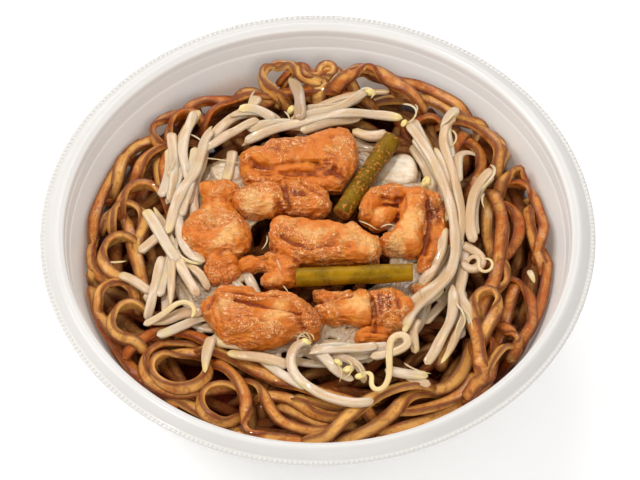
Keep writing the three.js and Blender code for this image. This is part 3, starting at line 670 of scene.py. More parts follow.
class Tree:
    """Adds nodes to a node tree, each with its settings first and then its sockets."""

    def __init__(self, tree):
        self.tree = tree

    def node(self, kind, sockets=None, out=0, **settings):
        """Adds a node and gives back the output that out names."""
        node = self.tree.nodes.new(kind)
        for name, value in settings.items():
            setattr(node, name, value)
        for key, value in (sockets or {}).items():
            socket = node.inputs[key]
            if isinstance(value, Wire):
                self.tree.links.new(value.socket, socket)
            else:
                socket.default_value = value
        return Wire(self, node.outputs[out]) if node.outputs else None

    def math(self, operation, *values):
        return self.node("ShaderNodeMath", dict(enumerate(values)), operation=operation)


class Finish(Tree):
    """A material under construction."""

    def __init__(self, name):
        self.material = bpy.data.materials.new(name)
        self.material.use_nodes = True
        super().__init__(self.material.node_tree)
        self.tree.nodes.clear()
        self.place = self.node("ShaderNodeTexCoord", out="Object")

    def noise(self, size, detail=2.0, roughness=0.5, distortion=0.0, vector=None):
        """Noise from 0 to 1 whose spots are about size millimetres wide."""
        sockets = {
            "Vector": vector or self.place,
            "Scale": 1 / (size * MM),
            "Detail": detail,
            "Roughness": roughness,
            "Distortion": distortion,
        }
        return self.node("ShaderNodeTexNoise", sockets)

    def ramp(self, value, low, high):
        """0 below low, 1 above high and smooth between them."""
        sockets = {"Value": value, "From Min": low, "From Max": high}
        return self.node("ShaderNodeMapRange", sockets, interpolation_type="SMOOTHSTEP")

    def mix(self, share, first, second):
        """The first colour where share is 0 and the second where it is 1."""
        sockets = {0: share, 6: first, 7: second}
        for key in (6, 7):
            if not isinstance(sockets[key], Wire):
                sockets[key] = (*sockets[key], 1)
        return self.node("ShaderNodeMix", sockets, out=2, data_type="RGBA")

    def attribute(self, name):
        return self.node("ShaderNodeAttribute", out="Fac", attribute_name=name)

    def bump(self, height, depth, normal=None):
        """Relief of the given depth in millimetres from a height of 0 to 1."""
        sockets = {"Height": height, "Distance": depth * MM, "Strength": 1.0}
        if normal:
            sockets["Normal"] = normal
        return self.node("ShaderNodeBump", sockets)

    def done(self, **sockets):
        """Closes the material with one shader; a name's underscores stand for spaces."""
        values = {name.replace("_", " "): value for name, value in sockets.items()}
        if not isinstance(values["Base Color"], Wire):
            values["Base Color"] = (*values["Base Color"], 1)
        shader = self.node("ShaderNodeBsdfPrincipled", values)
        self.node("ShaderNodeOutputMaterial", {"Surface": shader})
        return self.material


class Shape(Tree):
    """A Geometry Nodes tree with named inputs."""

    def __init__(self, name, inputs):
        super().__init__(bpy.data.node_groups.new(name, "GeometryNodeTree"))
        face = self.tree.interface
        face.new_socket("Geometry", in_out="INPUT", socket_type="NodeSocketGeometry")
        self.sockets = {}
        for label, kind in inputs.items():
            self.sockets[label] = face.new_socket(label, in_out="INPUT", socket_type="NodeSocket" + kind)
        face.new_socket("Geometry", in_out="OUTPUT", socket_type="NodeSocketGeometry")
        self.start = self.tree.nodes.new("NodeGroupInput")
        self.geometry = self.input("Geometry")

    def input(self, label):
        return Wire(self, self.start.outputs[label])

    def named(self, name):
        return self.node("GeometryNodeInputNamedAttribute", {"Name": name}, data_type="FLOAT")

    def close(self, geometry, material):
        """Realizes the instances, sets the material and ends the tree."""
        real = self.node("GeometryNodeRealizeInstances", {"Geometry": geometry})
        smooth = self.node("GeometryNodeSetShadeSmooth", {"Geometry": real})
        painted = self.node("GeometryNodeSetMaterial", {"Geometry": smooth, "Material": material})
        self.node("NodeGroupOutput", {"Geometry": painted})

    def apply(self, piece, values):
        """Runs the tree on a piece and keeps the result as its plain mesh."""
        modifier = piece.modifiers.new(self.tree.name, "NODES")
        modifier.node_group = self.tree
        for label, value in values.items():
            modifier[self.sockets[label].identifier] = value
        return plain(piece)


def plain(piece):
    """Turns a piece with live modifiers into a plain mesh."""
    seen = piece.evaluated_get(bpy.context.evaluated_depsgraph_get())
    mesh = bpy.data.meshes.new_from_object(seen)
    piece.modifiers.clear()
    piece.data = mesh
    return piece


# ---------------------------------------------------------------- mesh helpers


def new_piece(name, points, edges=(), faces=()):
    """A new object in the scene from points in millimetres."""
    mesh = bpy.data.meshes.new(name)
    mesh.from_pydata([tuple(p) for p in np.asarray(points, float) * MM], edges, faces)
    mesh.update()
    piece = bpy.data.objects.new(name, mesh)
    bpy.context.collection.objects.link(piece)
    return piece


def finish_piece(piece, slot, *nodes, material=None):
    """Gives a piece its material, rides it on the part and hides the nodes that it stands for."""
    if material:
        piece.data.materials.clear()
        piece.data.materials.append(material)
        piece.data.shade_smooth()
    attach(piece, BODY)
    if nodes:
        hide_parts(*nodes)


def store(mesh, name, values):
    mesh.attributes.new(name, "FLOAT", "POINT").data.foreach_set("value", np.asarray(values, np.float32))


def ring_faces(rings, sides):
    """Faces between rings of points that all have the same number of sides."""
    faces = []
    for i in range(rings - 1):
        low, high = i * sides, (i + 1) * sides
        for k in range(sides):
            after = (k + 1) % sides
            faces.append((low + k, low + after, high + after, high + k))
    return faces


def spun(profile, steps):
    """Points and faces of an outline of [radius, z] turned once round the Z axis."""
    angles = np.arange(steps) * 2 * math.pi / steps
    points = [(r * math.cos(a), r * math.sin(a), z) for r, z in profile for a in angles]
    return points, ring_faces(len(profile), steps)


def close_poles(piece):
    """Merges the points that a spin leaves on the axis and turns all faces outwards."""
    shape = bmesh.new()
    shape.from_mesh(piece.data)
    bmesh.ops.remove_doubles(shape, verts=shape.verts, dist=1e-6)
    bmesh.ops.dissolve_degenerate(shape, edges=shape.edges, dist=1e-7)
    bmesh.ops.recalc_face_normals(shape, faces=shape.faces)
    shape.to_mesh(piece.data)
    shape.free()


def rounded(corners, steps):
    """An outline whose corners [r, z, reach] are rounded by curves of that reach."""
    outline = []
    for i, (r, z, reach) in enumerate(corners):
        here = np.array((r, z), float)
        if reach == 0 or i in (0, len(corners) - 1):
            outline.append(here)
            continue
        before = np.array(corners[i - 1][:2], float) - here
        after = np.array(corners[i + 1][:2], float) - here
        start = before * min(0.5, reach / np.linalg.norm(before))
        end = after * min(0.5, reach / np.linalg.norm(after))
        for t in np.linspace(0, 1, steps + 1):
            outline.append(here + start * (1 - t) ** 2 + end * t**2)
    return outline


# ---------------------------------------------------------------- bowl

# Heights and inner radii in millimetres. The wall rises by its slope for each millimetre outwards,
# and below the bend it curves into the floor, towards the floor's corner.
LIP_Z = 49
LEDGE_RADIUS = 84.8
LEDGE_Z = 44.5
WALL_SLOPE = 2.25
BEND_Z = 31
FLOOR_Z = 4.6
FLOOR_RADIUS = 50
FLOOR_CORNER = 61
FOOT_RADIUS = 53.5
FOOT_HALF = 2.5
FOOT_Z = 2.6
CURVE_STEPS = 10
CORNER_STEPS = 6
SAUCE_AND_SHADE_TOP = 41.5
SAUCE_AND_SHADE_FULL = 36


def wall_radius(z):
    """Radius of the inner wall at a height: straight above the bend, curved into the floor below."""
    if z >= BEND_Z:
        return LEDGE_RADIUS - (LEDGE_Z - z) / WALL_SLOPE
    share = math.sqrt((z - FLOOR_Z) / (BEND_Z - FLOOR_Z))
    rest = 1 - share
    return rest**2 * FLOOR_RADIUS + 2 * rest * share * FLOOR_CORNER + share**2 * wall_radius(BEND_Z)


def floor_curve(gap=0):
    """Corners of the curve from the inner floor up to the bend."""
    heights = FLOOR_Z + (BEND_Z - FLOOR_Z) * np.linspace(0, 1, CURVE_STEPS) ** 2
    return [(wall_radius(z) - gap, z + gap, 3) for z in heights]


def under_curve(wall):
    """Corners of the bowl's outside from the bend down to the foot."""
    start = np.array((wall_radius(BEND_Z) + wall, BEND_Z))
    corner = np.array((FLOOR_CORNER + wall, FOOT_Z))
    end = np.array((FOOT_RADIUS + FOOT_HALF + 1, FOOT_Z))
    shares = np.linspace(0, 1, CURVE_STEPS)
    return [(*(start * (1 - t) ** 2 + 2 * corner * t * (1 - t) + end * t**2), 3) for t in shares]


def bowl_outline(settings):
    """Half a section: up the inside from the middle, over the rim and back underneath."""
    rim = settings.rim_radius / MM
    crest = settings.crest_height / MM
    wall = settings.wall / MM
    inner = [
        (0, FLOOR_Z, 0),
        *floor_curve(),
        (LEDGE_RADIUS - 0.4, LEDGE_Z - 0.8, 0.4),  # ledge
        (LEDGE_RADIUS + 0.05, LEDGE_Z - 0.2, 0.4),
        (rim - 9.05, LIP_Z - 0.8, 0.15),  # snap groove
        (rim - 8.75, LIP_Z - 1.4, 0.15),
        (rim - 8.45, LIP_Z + 0.9, 0.8),
        (rim - 8.05, crest - 0.8, 1),  # raised rim
        (rim - 6.6, crest, 1.4),
        (rim - 4.7, crest - 0.05, 0.9),
        (rim - 2, LIP_Z + 0.3, 0.4),  # flat lip
        (rim - 1.6, LIP_Z + 0.15, 0.3),
        (rim - 0.5, LIP_Z + 0.15, 0.4),
    ]
    outer = [
        (rim, LIP_Z - 0.2, 0.3),
        (rim - 0.2, LIP_Z - 0.9, 0.3),
        (rim - 1.9, LIP_Z - 0.9, 0.6),
        (rim - 4.7, crest - wall, 1.2),
        (rim - 6.3, LIP_Z - 1.6, 1.5),
        (LEDGE_RADIUS + wall, LEDGE_Z - 0.6, 2),
        *under_curve(wall),
        (FOOT_RADIUS + FOOT_HALF, 0, 0.5),
        (FOOT_RADIUS - FOOT_HALF, 0, 0.5),
        (FOOT_RADIUS - FOOT_HALF - 1, FOOT_Z, 0.8),
        (0, FOOT_Z, 0),
    ]
    return rounded(inner + outer, CORNER_STEPS)


def foam_finish(settings):
    """White foam; low on the inner wall, a sauce film with painted shade and an emission that paints the
    light shining through.
    """
    finish = Finish("foam")
    grain = finish.noise(0.35, 3)
    cells = finish.noise(1.6, 2)
    cloud = finish.ramp(finish.noise(30, 1), 0.3, 0.7)
    base = finish.mix(cloud * 0.5, settings.foam, darker(settings.foam, 0.95))
    height = finish.node("ShaderNodeSeparateXYZ", {"Vector": finish.place}, out="Z")
    outward = finish.node("ShaderNodeVectorMath", {0: finish.place, 1: (1, 1, 0)}, operation="MULTIPLY")
    radius = finish.node("ShaderNodeVectorMath", {0: outward}, out="Value", operation="LENGTH")
    wall_line = LEDGE_RADIUS - LEDGE_Z / WALL_SLOPE
    from_line = radius - height * (1 / WALL_SLOPE)
    inside = finish.ramp(from_line, (wall_line + 1.58) * MM, (wall_line + 0.78) * MM)
    inside = inside * finish.ramp(height, (BEND_Z - 2) * MM, BEND_Z * MM)
    # A sauce film together with painted shade from the noodles, low on the inner wall.
    wall_sauce_and_shade = inside * finish.ramp(height + cells * (4 * MM), SAUCE_AND_SHADE_TOP * MM, SAUCE_AND_SHADE_FULL * MM)
    base = finish.mix(wall_sauce_and_shade * 0.45, base, settings.wall_sauce_and_shade)
    # Painted light: the inner wall glows, an emission that stands in for light shining through the foam
    # and lifts the shade beside the noodles.
    within_rim = finish.ramp(radius, settings.rim_radius - 6.5 * MM, settings.rim_radius - 8 * MM)
    glow = finish.mix(inside * within_rim, (0, 0, 0), base)
    relief = finish.bump(grain * 0.5 + cells * 0.5, 0.05)
    return finish.done(
        Base_Color=base,
        Roughness=0.36 + grain * 0.1,
        Normal=relief,
        Emission_Color=glow,
        Emission_Strength=0.27,
        Coat_Weight=0.25,
        Coat_Roughness=0.12,
    )


def rib_tree(material):
    """Small rounded ribs on a circle, each pointing at its middle."""
    inputs = {"Count": "Int", "Radius": "Float", "Height": "Float", "Length": "Float", "Width": "Float"}
    tree = Shape("Lip ribs", inputs)
    sockets = {"Vertices": tree.input("Count"), "Radius": tree.input("Radius")}
    ring = tree.node("GeometryNodeMeshCircle", sockets)
    lift = tree.node("ShaderNodeCombineXYZ", {"Z": tree.input("Height")})
    lifted = tree.node("GeometryNodeTransform", {"Geometry": ring, "Translation": lift})
    spot = tree.node("GeometryNodeInputPosition")
    outward = tree.node("ShaderNodeVectorMath", {0: spot, 1: (1, 1, 0)}, operation="MULTIPLY")
    turn = tree.node(
        "FunctionNodeAlignEulerToVector", {"Vector": outward}, axis="X", pivot_axis="Z"
    )
    ball = tree.node("GeometryNodeMeshUVSphere", {"Segments": 8, "Rings": 5, "Radius": 0.5})
    width = tree.input("Width")
    size = tree.node("ShaderNodeCombineXYZ", {"X": tree.input("Length"), "Y": width, "Z": width * 0.8})
    sockets = {"Points": lifted, "Instance": ball, "Rotation": turn, "Scale": size}
    tree.close(tree.node("GeometryNodeInstanceOnPoints", sockets), material)
    return tree


class YAKISOBA_OT_bowl(bpy.types.Operator):
    """The foam bowl and the ribs round its lip"""

    bl_idname = "yakisoba.bowl"
    bl_label = "Bowl"

    def execute(self, context):
        settings = context.scene.yakisoba_bowl
        foam = foam_finish(settings)
        points, faces = spun(bowl_outline(settings), settings.steps)
        bowl = new_piece("foam_bowl", points, faces=[face[::-1] for face in faces])
        close_poles(bowl)
        finish_piece(bowl, "foam", "bowl", material=foam)

        ribs = new_piece("lip_ribs", [(0, 0, 0)])
        values = {
            "Count": settings.ribs,
            "Radius": settings.rim_radius - 0.9 * MM,
            "Height": LIP_Z * MM,
            "Length": 1.5 * MM,
            "Width": 1.05 * MM,
        }
        rib_tree(foam).apply(ribs, values)
        finish_piece(ribs, "foam")
        return {"FINISHED"}


# ---------------------------------------------------------------- heap of strands

STRAND_REACH = 78.4
MEAT_MIDDLE = (-2, 1)
MEAT_REACH = 30
SHADE_AND_SAUCE_ABOVE = 1.2
SHADE_AND_SAUCE_DEPTH = 5.5


class Pile:
    """The highest point of what lies in the bowl so far, on a square grid, in millimetres."""

    CELL = 0.6
    REACH = 92

    def __init__(self, ground):
        side = np.arange(-self.REACH, self.REACH + self.CELL, self.CELL)
        x, y = np.meshgrid(side, side, indexing="ij")
        self.tops = ground(x, y)

    def cells(self, path, radius):
        """Grid cells within radius of each point of a path, and each cell's distance from it."""
        reach = int(radius / self.CELL) + 1
        side = np.arange(-reach, reach + 1)
        i, j = np.meshgrid(side, side, indexing="ij")
        away = np.hypot(i, j) * self.CELL
        near = away <= radius
        middle = np.rint((path + self.REACH) / self.CELL).astype(int)
        rows = np.clip(middle[:, 0, None] + i[near][None], 0, self.tops.shape[0] - 1)
        columns = np.clip(middle[:, 1, None] + j[near][None], 0, self.tops.shape[1] - 1)
        return rows, columns, away[near]

    def under(self, path, radius):
        rows, columns, _ = self.cells(path, radius)
        return self.tops[rows, columns].max(axis=1)

    def cover(self, path, radius, tops, crown):
        """Raises the grid to a strand's top, which falls by crown from its middle to its edges."""
        rows, columns, away = self.cells(path, radius)
        heights = tops[:, None] - crown * (away / radius)[None] ** 2
        np.maximum.at(self.tops, (rows, columns), heights)


def softened(values):
    """Values along a strand, each drawn towards those beside it."""
    return np.convolve(np.pad(values, 2, mode="edge"), (0.1, 0.2, 0.4, 0.2, 0.1), mode="valid")


def walked(angles, pace):
    """Where steps of one pace lead, each in its own direction."""
    return np.cumsum(np.column_stack((np.cos(angles), np.sin(angles))) * pace, axis=0)


def off_wall(path):
    """A path whose points past the strands' reach are drawn in to it."""
    radius = np.hypot(*path.T)
    return path * np.minimum(1, STRAND_REACH / np.maximum(radius, 1))[:, None]


def strand_path(strand):
    """Points a millimetre apart along a strand of the layout."""
    x, y, _, heading, size, turns = strand[:6]
    steps = int(round(size))
    share = np.minimum((np.arange(steps) * len(turns)) // steps, len(turns) - 1)
    bends = softened(np.radians(np.array(turns, float))[share] * len(turns) / steps)
    angles = math.radians(heading) + np.cumsum(bends)
    return off_wall(np.array((x, y), float) + np.vstack(((0, 0), walked(angles, size / steps))))


def laid(path, support, thickness, sag, climb):
    """Heights of a strand's middle line, bridging from one high point to the next and climbing
    over itself where it crosses."""
    index = np.arange(len(path))
    drop = sag * (index[:, None] - index[None]) ** 2
    level = support + thickness / 2
    apart = np.hypot(*(path[:, None] - path[None]).transpose(2, 0, 1))
    crossing = (apart < climb) & (index[None] - index[:, None] > 2.2 * climb)
    height = level
    for _ in range(3):
        height = (level[None] - drop).max(axis=1)
        over = np.where(crossing, height[:, None] + thickness * 0.75, -np.inf).max(axis=0)
        level = np.maximum(level, over)
    return softened(height)


def shade_and_sauce_depth(points):
    """How much painted shade and sauce a point gets: low in the heap, or under the meat."""
    x, y, z = points.T
    away = np.hypot(x - MEAT_MIDDLE[0], y - MEAT_MIDDLE[1]) / MEAT_REACH
    low = (heap_top(x, y) + SHADE_AND_SAUCE_ABOVE - z) / SHADE_AND_SAUCE_DEPTH
    return np.clip(low + 0.75 * np.exp(-(away**4)), 0, 1)


class Strands:
    """Collects laid strands as wires, for a tree that gives them their section."""

    def __init__(self):
        self.points = []
        self.edges = []
        self.data = {"tilt": [], "size": [], "shade": [], "run": [], "tail": [], "deep": []}

    def add(self, points, tilt, size, shade, tail=0, stain=0):
        """Adds a strand; tail is 1 at a root, and stain is the least that the sauce colours it."""
        first = sum(len(p) for p in self.points)
        self.points.append(points)
        self.edges += [(first + i, first + i + 1) for i in range(len(points) - 1)]
        self.data["tilt"].append(tilt)
        self.data["size"].append(size)
        self.data["shade"].append(np.full(len(points), shade))
        self.data["tail"].append(np.zeros(len(points)) + tail)
        self.data["deep"].append(np.maximum(shade_and_sauce_depth(points), stain))
        self.data["run"].append(np.arange(len(points)) + 97.0 * shade)

    def piece(self, name, tree, spacing, rounding, values):
        """The strands as one solid mesh, sampled every spacing millimetres."""
        piece = new_piece(name, np.vstack(self.points), edges=self.edges)
        for label, numbers in self.data.items():
            store(piece.data, label, np.concatenate(numbers))
        return tree.apply(piece, {**values, "Spacing": spacing * MM, "Rounding": rounding})


def round_ends(count, reach):
    """Size of a strand's section along it, 1 but for its two rounded ends."""
    from_end = np.minimum(np.arange(count), np.arange(count)[::-1])
    return np.sqrt(np.clip(1 - (1 - np.minimum(from_end, reach) / reach) ** 2, 0.02, 1))


def strand_tree(name, material):
    """A flat section with rounded edges carried along wires."""
    inputs = dict.fromkeys(("Width", "Thickness", "Edge", "Spacing"), "Float")
    tree = Shape(name, {**inputs, "Rounding": "Int"})
    line = tree.node("GeometryNodeMeshToCurve", {"Mesh": tree.geometry})
    line = tree.node("GeometryNodeSetCurveNormal", {"Curve": line}, mode="Z_UP")
    line = tree.node("GeometryNodeSetCurveTilt", {"Curve": line, "Tilt": tree.named("tilt")})
    line = tree.node(
        "GeometryNodeResampleCurve", {"Curve": line, "Length": tree.input("Spacing")}, mode="LENGTH"
    )
    box = tree.node(
        "GeometryNodeCurvePrimitiveQuadrilateral",
        {"Width": tree.input("Width"), "Height": tree.input("Thickness")},
    )
    sockets = {"Curve": box, "Count": tree.input("Rounding"), "Radius": tree.input("Edge")}
    section = tree.node("GeometryNodeFilletCurve", {**sockets, "Limit Radius": True}, mode="POLY")
    spot = tree.node("GeometryNodeInputPosition")
    for axis, label in enumerate(("side", "lift")):
        value = tree.node("ShaderNodeSeparateXYZ", {"Vector": spot}, out=axis)
        section = tree.node(
            "GeometryNodeStoreNamedAttribute", {"Geometry": section, "Name": label, "Value": value}
        )
    solid = tree.node(
        "GeometryNodeCurveToMesh",
        {"Curve": line, "Profile Curve": section, "Scale": tree.named("size"), "Fill Caps": True},
    )
    tree.close(solid, material)
    return tree


def turning(random, size, wander, curl):
    """Turns for a loose strand: a drifting bend, and for some a steady curl."""
    count = max(2, int(size / 8))
    steady = random.choice((-1, 1)) * random.uniform(30, 55) if random.random() < curl else 0
    return list(np.clip(random.normal(steady, wander, count), -75, 75))


# ---------------------------------------------------------------- noodles

HEAP_RADIUS = 79
HEAP_CROWN = 40.4
HEAP_FALL = 6.4
CORE_DEPTH = 10.5
CORE_RISE = 5
NOODLE_SAG = 0.02
NOODLE_EXCESS = 2.2
DIVE_STEPS = 7
DIVE_DEPTH = 5.5


def heap_top(x, y):
    """Height that the lower noodles may reach."""
    share = np.hypot(x, y) / HEAP_RADIUS
    return HEAP_CROWN - HEAP_FALL * share**2


def noodle_ground(x, y):
    """Height of the core under the loose noodles, which rises again along the wall."""
    return heap_top(x, y) - CORE_DEPTH + CORE_RISE * (np.hypot(x, y) / HEAP_RADIUS) ** 6


def above_wall(path, half):
    """Lowest height at which a strand clears the wall."""
    heights = np.linspace(FLOOR_Z, LEDGE_Z, 60)
    return np.interp(np.hypot(*path.T) + half + 0.3, [wall_radius(z) for z in heights], heights)


def strand_grain(finish, step, across):
    """A vector along and round a strand, for a grain stretched along it."""
    parts = {
        "X": finish.attribute("run") * (MM / step),
        "Y": finish.attribute("side") * (1 / across),
        "Z": finish.attribute("lift") * (1 / across),
    }
    return finish.node("ShaderNodeCombineXYZ", parts)


def noodle_finish(settings):
    """Brown and glossy, with painted shade on the edges and underside, spots of sauce, and painted shade
    with sauce deep in the bowl.
    """
    finish = Finish("noodle")
    shade = finish.attribute("shade")
    streaks = finish.noise(1000, 3, 0.6, vector=strand_grain(finish, 0.006, 0.0009))
    blotch = finish.noise(5, 3, 0.6)
    speckle = finish.noise(1.2, 3, 0.65)
    fine = finish.noise(0.5, 3, 0.7)
    lightness = finish.ramp(shade * 0.4 + streaks * 0.35 + blotch * 0.7 + speckle * 0.25, 0.58, 1.02)
    base = finish.mix(lightness, settings.brown, settings.light)
    # Painted shade: each noodle's edges and underside darker, as light falls on its top.
    edge = finish.math("ABSOLUTE", finish.attribute("side")) * (2 / settings.width)
    low = finish.attribute("lift") * (-2 / settings.thickness)
    base = finish.mix(finish.ramp(edge + low * 0.4 + streaks * 0.35, 0.8, 1.5) * 0.9, base, settings.dark)
    sauce = finish.ramp(finish.noise(4, 3, 0.65, 0.6) + fine * 0.15, 0.58, 0.76)
    base = finish.mix(sauce * 0.5, base, settings.dark)
    # Painted shade, with sauce, on noodles low in the heap and under the meat.
    base = finish.mix(finish.ramp(finish.attribute("deep"), 0.0, 0.65) * 0.9, base, settings.pool)
    relief = finish.bump(streaks + speckle * 0.6, 0.45)
    relief = finish.bump(fine, 0.6, relief)
    return finish.done(
        Base_Color=base,
        Roughness=0.06 + fine * 0.16,
        Normal=relief,
        Specular_IOR_Level=0.75,
        Specular_Tint=(1, 0.55, 0.2, 1),
        Coat_Weight=finish.ramp(finish.attribute("deep"), 0.6, 0.1) * 0.3,
        Coat_Roughness=0.05,
        Subsurface_Weight=0.25,
        Subsurface_Radius=(1, 0.3, 0.06),
        Subsurface_Scale=0.0015,
    )


def core_finish(settings):
    finish = Finish("sauce_core")
    # The core's very dark sauce colour also paints the shade deep among the noodles.
    base = finish.mix(finish.noise(4, 3), darker(settings.dark, 0.35), settings.dark)
    relief = finish.bump(finish.noise(3, 3), 0.8)
    return finish.done(Base_Color=base, Roughness=0.25, Normal=relief, Coat_Weight=0.5)


def noodle_core():
    """What fills the bowl under the loose noodles."""
    gap = 0.4
    edge_z = noodle_ground(HEAP_RADIUS - 4, 0)
    edge = wall_radius(edge_z) - gap
    curve = [corner for corner in floor_curve(gap) if corner[1] < edge_z - 1]
    skirt = [(0, FLOOR_Z + gap, 0), *curve, (edge, edge_z, 0)]
    dome = [(r, noodle_ground(r, 0)) for r in np.linspace(edge, 0, 24)[1:]]
    points, faces = spun(rounded(skirt, CORNER_STEPS) + dome, 96)
    core = new_piece("noodle_core", points, faces=faces)
    close_poles(core)
    return core


def noodle_tilt(path, random, base):
    """A slow wobble, and a lean on to the edge where the strand curls tightly."""
    count = len(path)
    step = np.gradient(path, axis=0)
    heading = np.unwrap(np.arctan2(step[:, 1], step[:, 0]))
    bend = np.convolve(np.pad(np.gradient(heading), 4, mode="edge"), np.full(9, 1 / 9), mode="valid")
    lean = np.clip(bend * 9, -1.4, 1.4)
    phase = random.uniform(0, 2 * math.pi)
    wobble = 0.3 * np.sin(np.arange(count) / random.uniform(6, 14) + phase)
    return base + lean + wobble


def dive(path, height, random):
    """Lengthens both ends of a noodle, which fall into what lies below."""
    steps = np.arange(1, DIVE_STEPS + 1)
    pieces = []
    for end, before, side in ((path[0], path[2], -1), (path[-1], path[-3], 1)):
        angle = math.atan2(*(end - before)[::-1])
        angles = angle + random.uniform(-0.07, 0.07) * steps
        pieces.append((end + walked(angles, 0.8))[::side])
    fall = DIVE_DEPTH * (steps / DIVE_STEPS) ** 1.4
    heights = np.concatenate((height[0] - fall[::-1], height, height[-1] - fall))
    return off_wall(np.vstack((pieces[0], path, pieces[1]))), softened(heights)


def settle(height, half, ceiling, path):
    """Presses a loose strand to the ceiling and says by how much."""
    excess = height + half - ceiling(*path.T)
    return height - np.maximum(excess, 0), excess.max()


def lay_noodle(pile, strands, strand, settings, random, ceiling=None):
    """Lays a noodle on the pile. A loose one, under a ceiling, is left out where it can't fit."""
    half = settings.width / MM / 2
    thickness = settings.thickness / MM
    size = random.uniform(0.8, 1.04)
    path = strand_path(strand)
    tilt = noodle_tilt(path, random, random.normal(0, 0.25))
    rise = 2 * size * (half * np.abs(np.sin(tilt)) * 0.8 + thickness / 2 * np.abs(np.cos(tilt)))
    support = np.maximum(pile.under(path, half * 0.7) - 0.8, above_wall(path, half))
    height = laid(path, support, rise, NOODLE_SAG, half * 2)
    if ceiling:
        height, excess = settle(height, rise / 2, ceiling, path)
        if excess > NOODLE_EXCESS:
            return
    else:
        height = np.clip(height, strand[2] - 0.6, strand[2] + 1.8)
    pile.cover(path, half * size, height + rise / 2, 0.5)
    path, height = dive(path, height, random)
    height = np.maximum(height, above_wall(path, half) + thickness / 2)
    tilt = np.pad(tilt, DIVE_STEPS, mode="edge")
    wave = 1 + 0.06 * np.sin(np.arange(len(path)) / 4 + size * 50)
    sizes = size * round_ends(len(path), 1.2) * wave
    strands.add(np.column_stack((path, height)), tilt, sizes, random.random())


def along_wall(random):
    """A loose noodle that follows the wall."""
    radius = random.uniform(STRAND_REACH - 10.4, STRAND_REACH)
    angle = random.uniform(0, 360)
    size = random.uniform(18, 40)
    side = random.choice((-1, 1))
    count = max(2, int(size / 8))
    turns = list(np.full(count, side * math.degrees(size / radius) / count))
    start = (radius * math.cos(math.radians(angle)), radius * math.sin(math.radians(angle)))
    return [*start, 0, angle + side * 90 + random.normal(0, 12), size, turns]


def anywhere(random, middle, radius, shortest, longest, wander, curl):
    """A loose strand that starts within a circle and sets off in any direction."""
    angle = random.uniform(0, 2 * math.pi)
    size = random.uniform(shortest, longest)
    start = (middle[0] + radius * math.cos(angle), middle[1] + radius * math.sin(angle))
    return [*start, 0, random.uniform(0, 360), size, turning(random, size, wander, curl)]


class Heap:
    """What the operators pass on to each other: the pile as it stands."""

    pile = None


class YAKISOBA_OT_noodles(bpy.types.Operator):
    """The brown noodles: loose ones below and the laid ones on top"""

    bl_idname = "yakisoba.noodles"
    bl_label = "Noodles"

    def execute(self, context):
        settings = context.scene.yakisoba_noodles
        random = np.random.default_rng(settings.seed)
        pile = Pile(noodle_ground)
        lower = Strands()
        for _ in range(settings.edge_tries):
            lay_noodle(pile, lower, along_wall(random), settings, random, heap_top)
        for attempt in range(settings.tries):
            radius = STRAND_REACH * math.sqrt(random.uniform(0.06, 1))
            sizes = (26, 50) if attempt < settings.tries / 3 else (14, 30)
            strand = anywhere(random, (0, 0), radius, *sizes, 22, 0.35)
            lay_noodle(pile, lower, strand, settings, random, heap_top)
        upper = Strands()
        for strand in NOODLES:
            lay_noodle(pile, upper, strand, settings, random)
        tree = strand_tree("Noodle strand", noodle_finish(settings))
        values = {"Width": settings.width, "Thickness": settings.thickness, "Edge": settings.edge}
        finish_piece(lower.piece("noodles_below", tree, 1.8, 1, values), "noodle")
        finish_piece(upper.piece("noodles_on_top", tree, 0.9, 3, values), "noodle")
        finish_piece(noodle_core(), "noodle", "noodles", material=core_finish(settings))
        Heap.pile = pile
        return {"FINISHED"}


# ---------------------------------------------------------------- sprouts

SPROUT_SAG = 0.012
SPROUT_EXCESS = 2.5
BED_MIDDLE = (-2, 0)
BED_RADIUS = 51
BED_CROWN = 44.8
BED_FALL = 3.5
BARE_RADIUS = 25
NO_ROOM = -100


def bed_top(x, y):
    """Height that the lower sprouts may reach, in a ring round the bare middle."""
    share = np.hypot(x - BED_MIDDLE[0], y - BED_MIDDLE[1]) / BED_RADIUS
    ring = (share < 1) & (np.hypot(x, y) > BARE_RADIUS)
    return np.where(ring, BED_CROWN - BED_FALL * share**2, NO_ROOM)


def sprout_finish(settings):
    """White, glassy in places with painted highlights on the edges, yellow at the roots, and brown with
    painted shade and sauce low down.
    """
    finish = Finish("sprout")
    shade = finish.attribute("shade")
    tail = finish.attribute("tail")
    streaks = finish.noise(1000, 2, 0.5, vector=strand_grain(finish, 0.02, 0.0009))
    blotch = finish.noise(7, 2)
    fine = finish.noise(0.8, 3)
    edge = finish.math("ABSOLUTE", finish.attribute("side")) * (2 / settings.width)
    hue = finish.noise(6, 2, 0.5, 0.5)
    pale = finish.mix(finish.ramp(hue, 0.52, 0.72) * 0.7, settings.white, settings.yellow)
    pale = finish.mix(finish.ramp(hue, 0.46, 0.3) * 0.6, pale, settings.pink)
    # Edges less glassy and paler: a painted highlight along each sprout's edges.
    clear = finish.ramp(shade * 0.5 + blotch * 0.9 + streaks - edge * 0.35, 0.62, 1.35)
    base = finish.mix(clear, pale, settings.clear)
    base = finish.mix(finish.ramp(tail, 0.1, 1.0) * 0.85, base, settings.head)
    # Painted shade, with the meat's juice, on sprouts low in the heap and under the meat.
    base = finish.mix(finish.ramp(finish.attribute("deep"), 0.1, 0.8) * 0.85, base, settings.below)
    relief = finish.bump(streaks, 0.2)
    relief = finish.bump(fine, 0.3, relief)
    return finish.done(
        Base_Color=base,
        Roughness=0.12 + fine * 0.15,
        Normal=relief,
        Coat_Weight=0.6,
        Coat_Roughness=0.05,
        Subsurface_Weight=0.35,
        Subsurface_Radius=(1, 0.75, 0.45),
        Subsurface_Scale=0.002,
    )


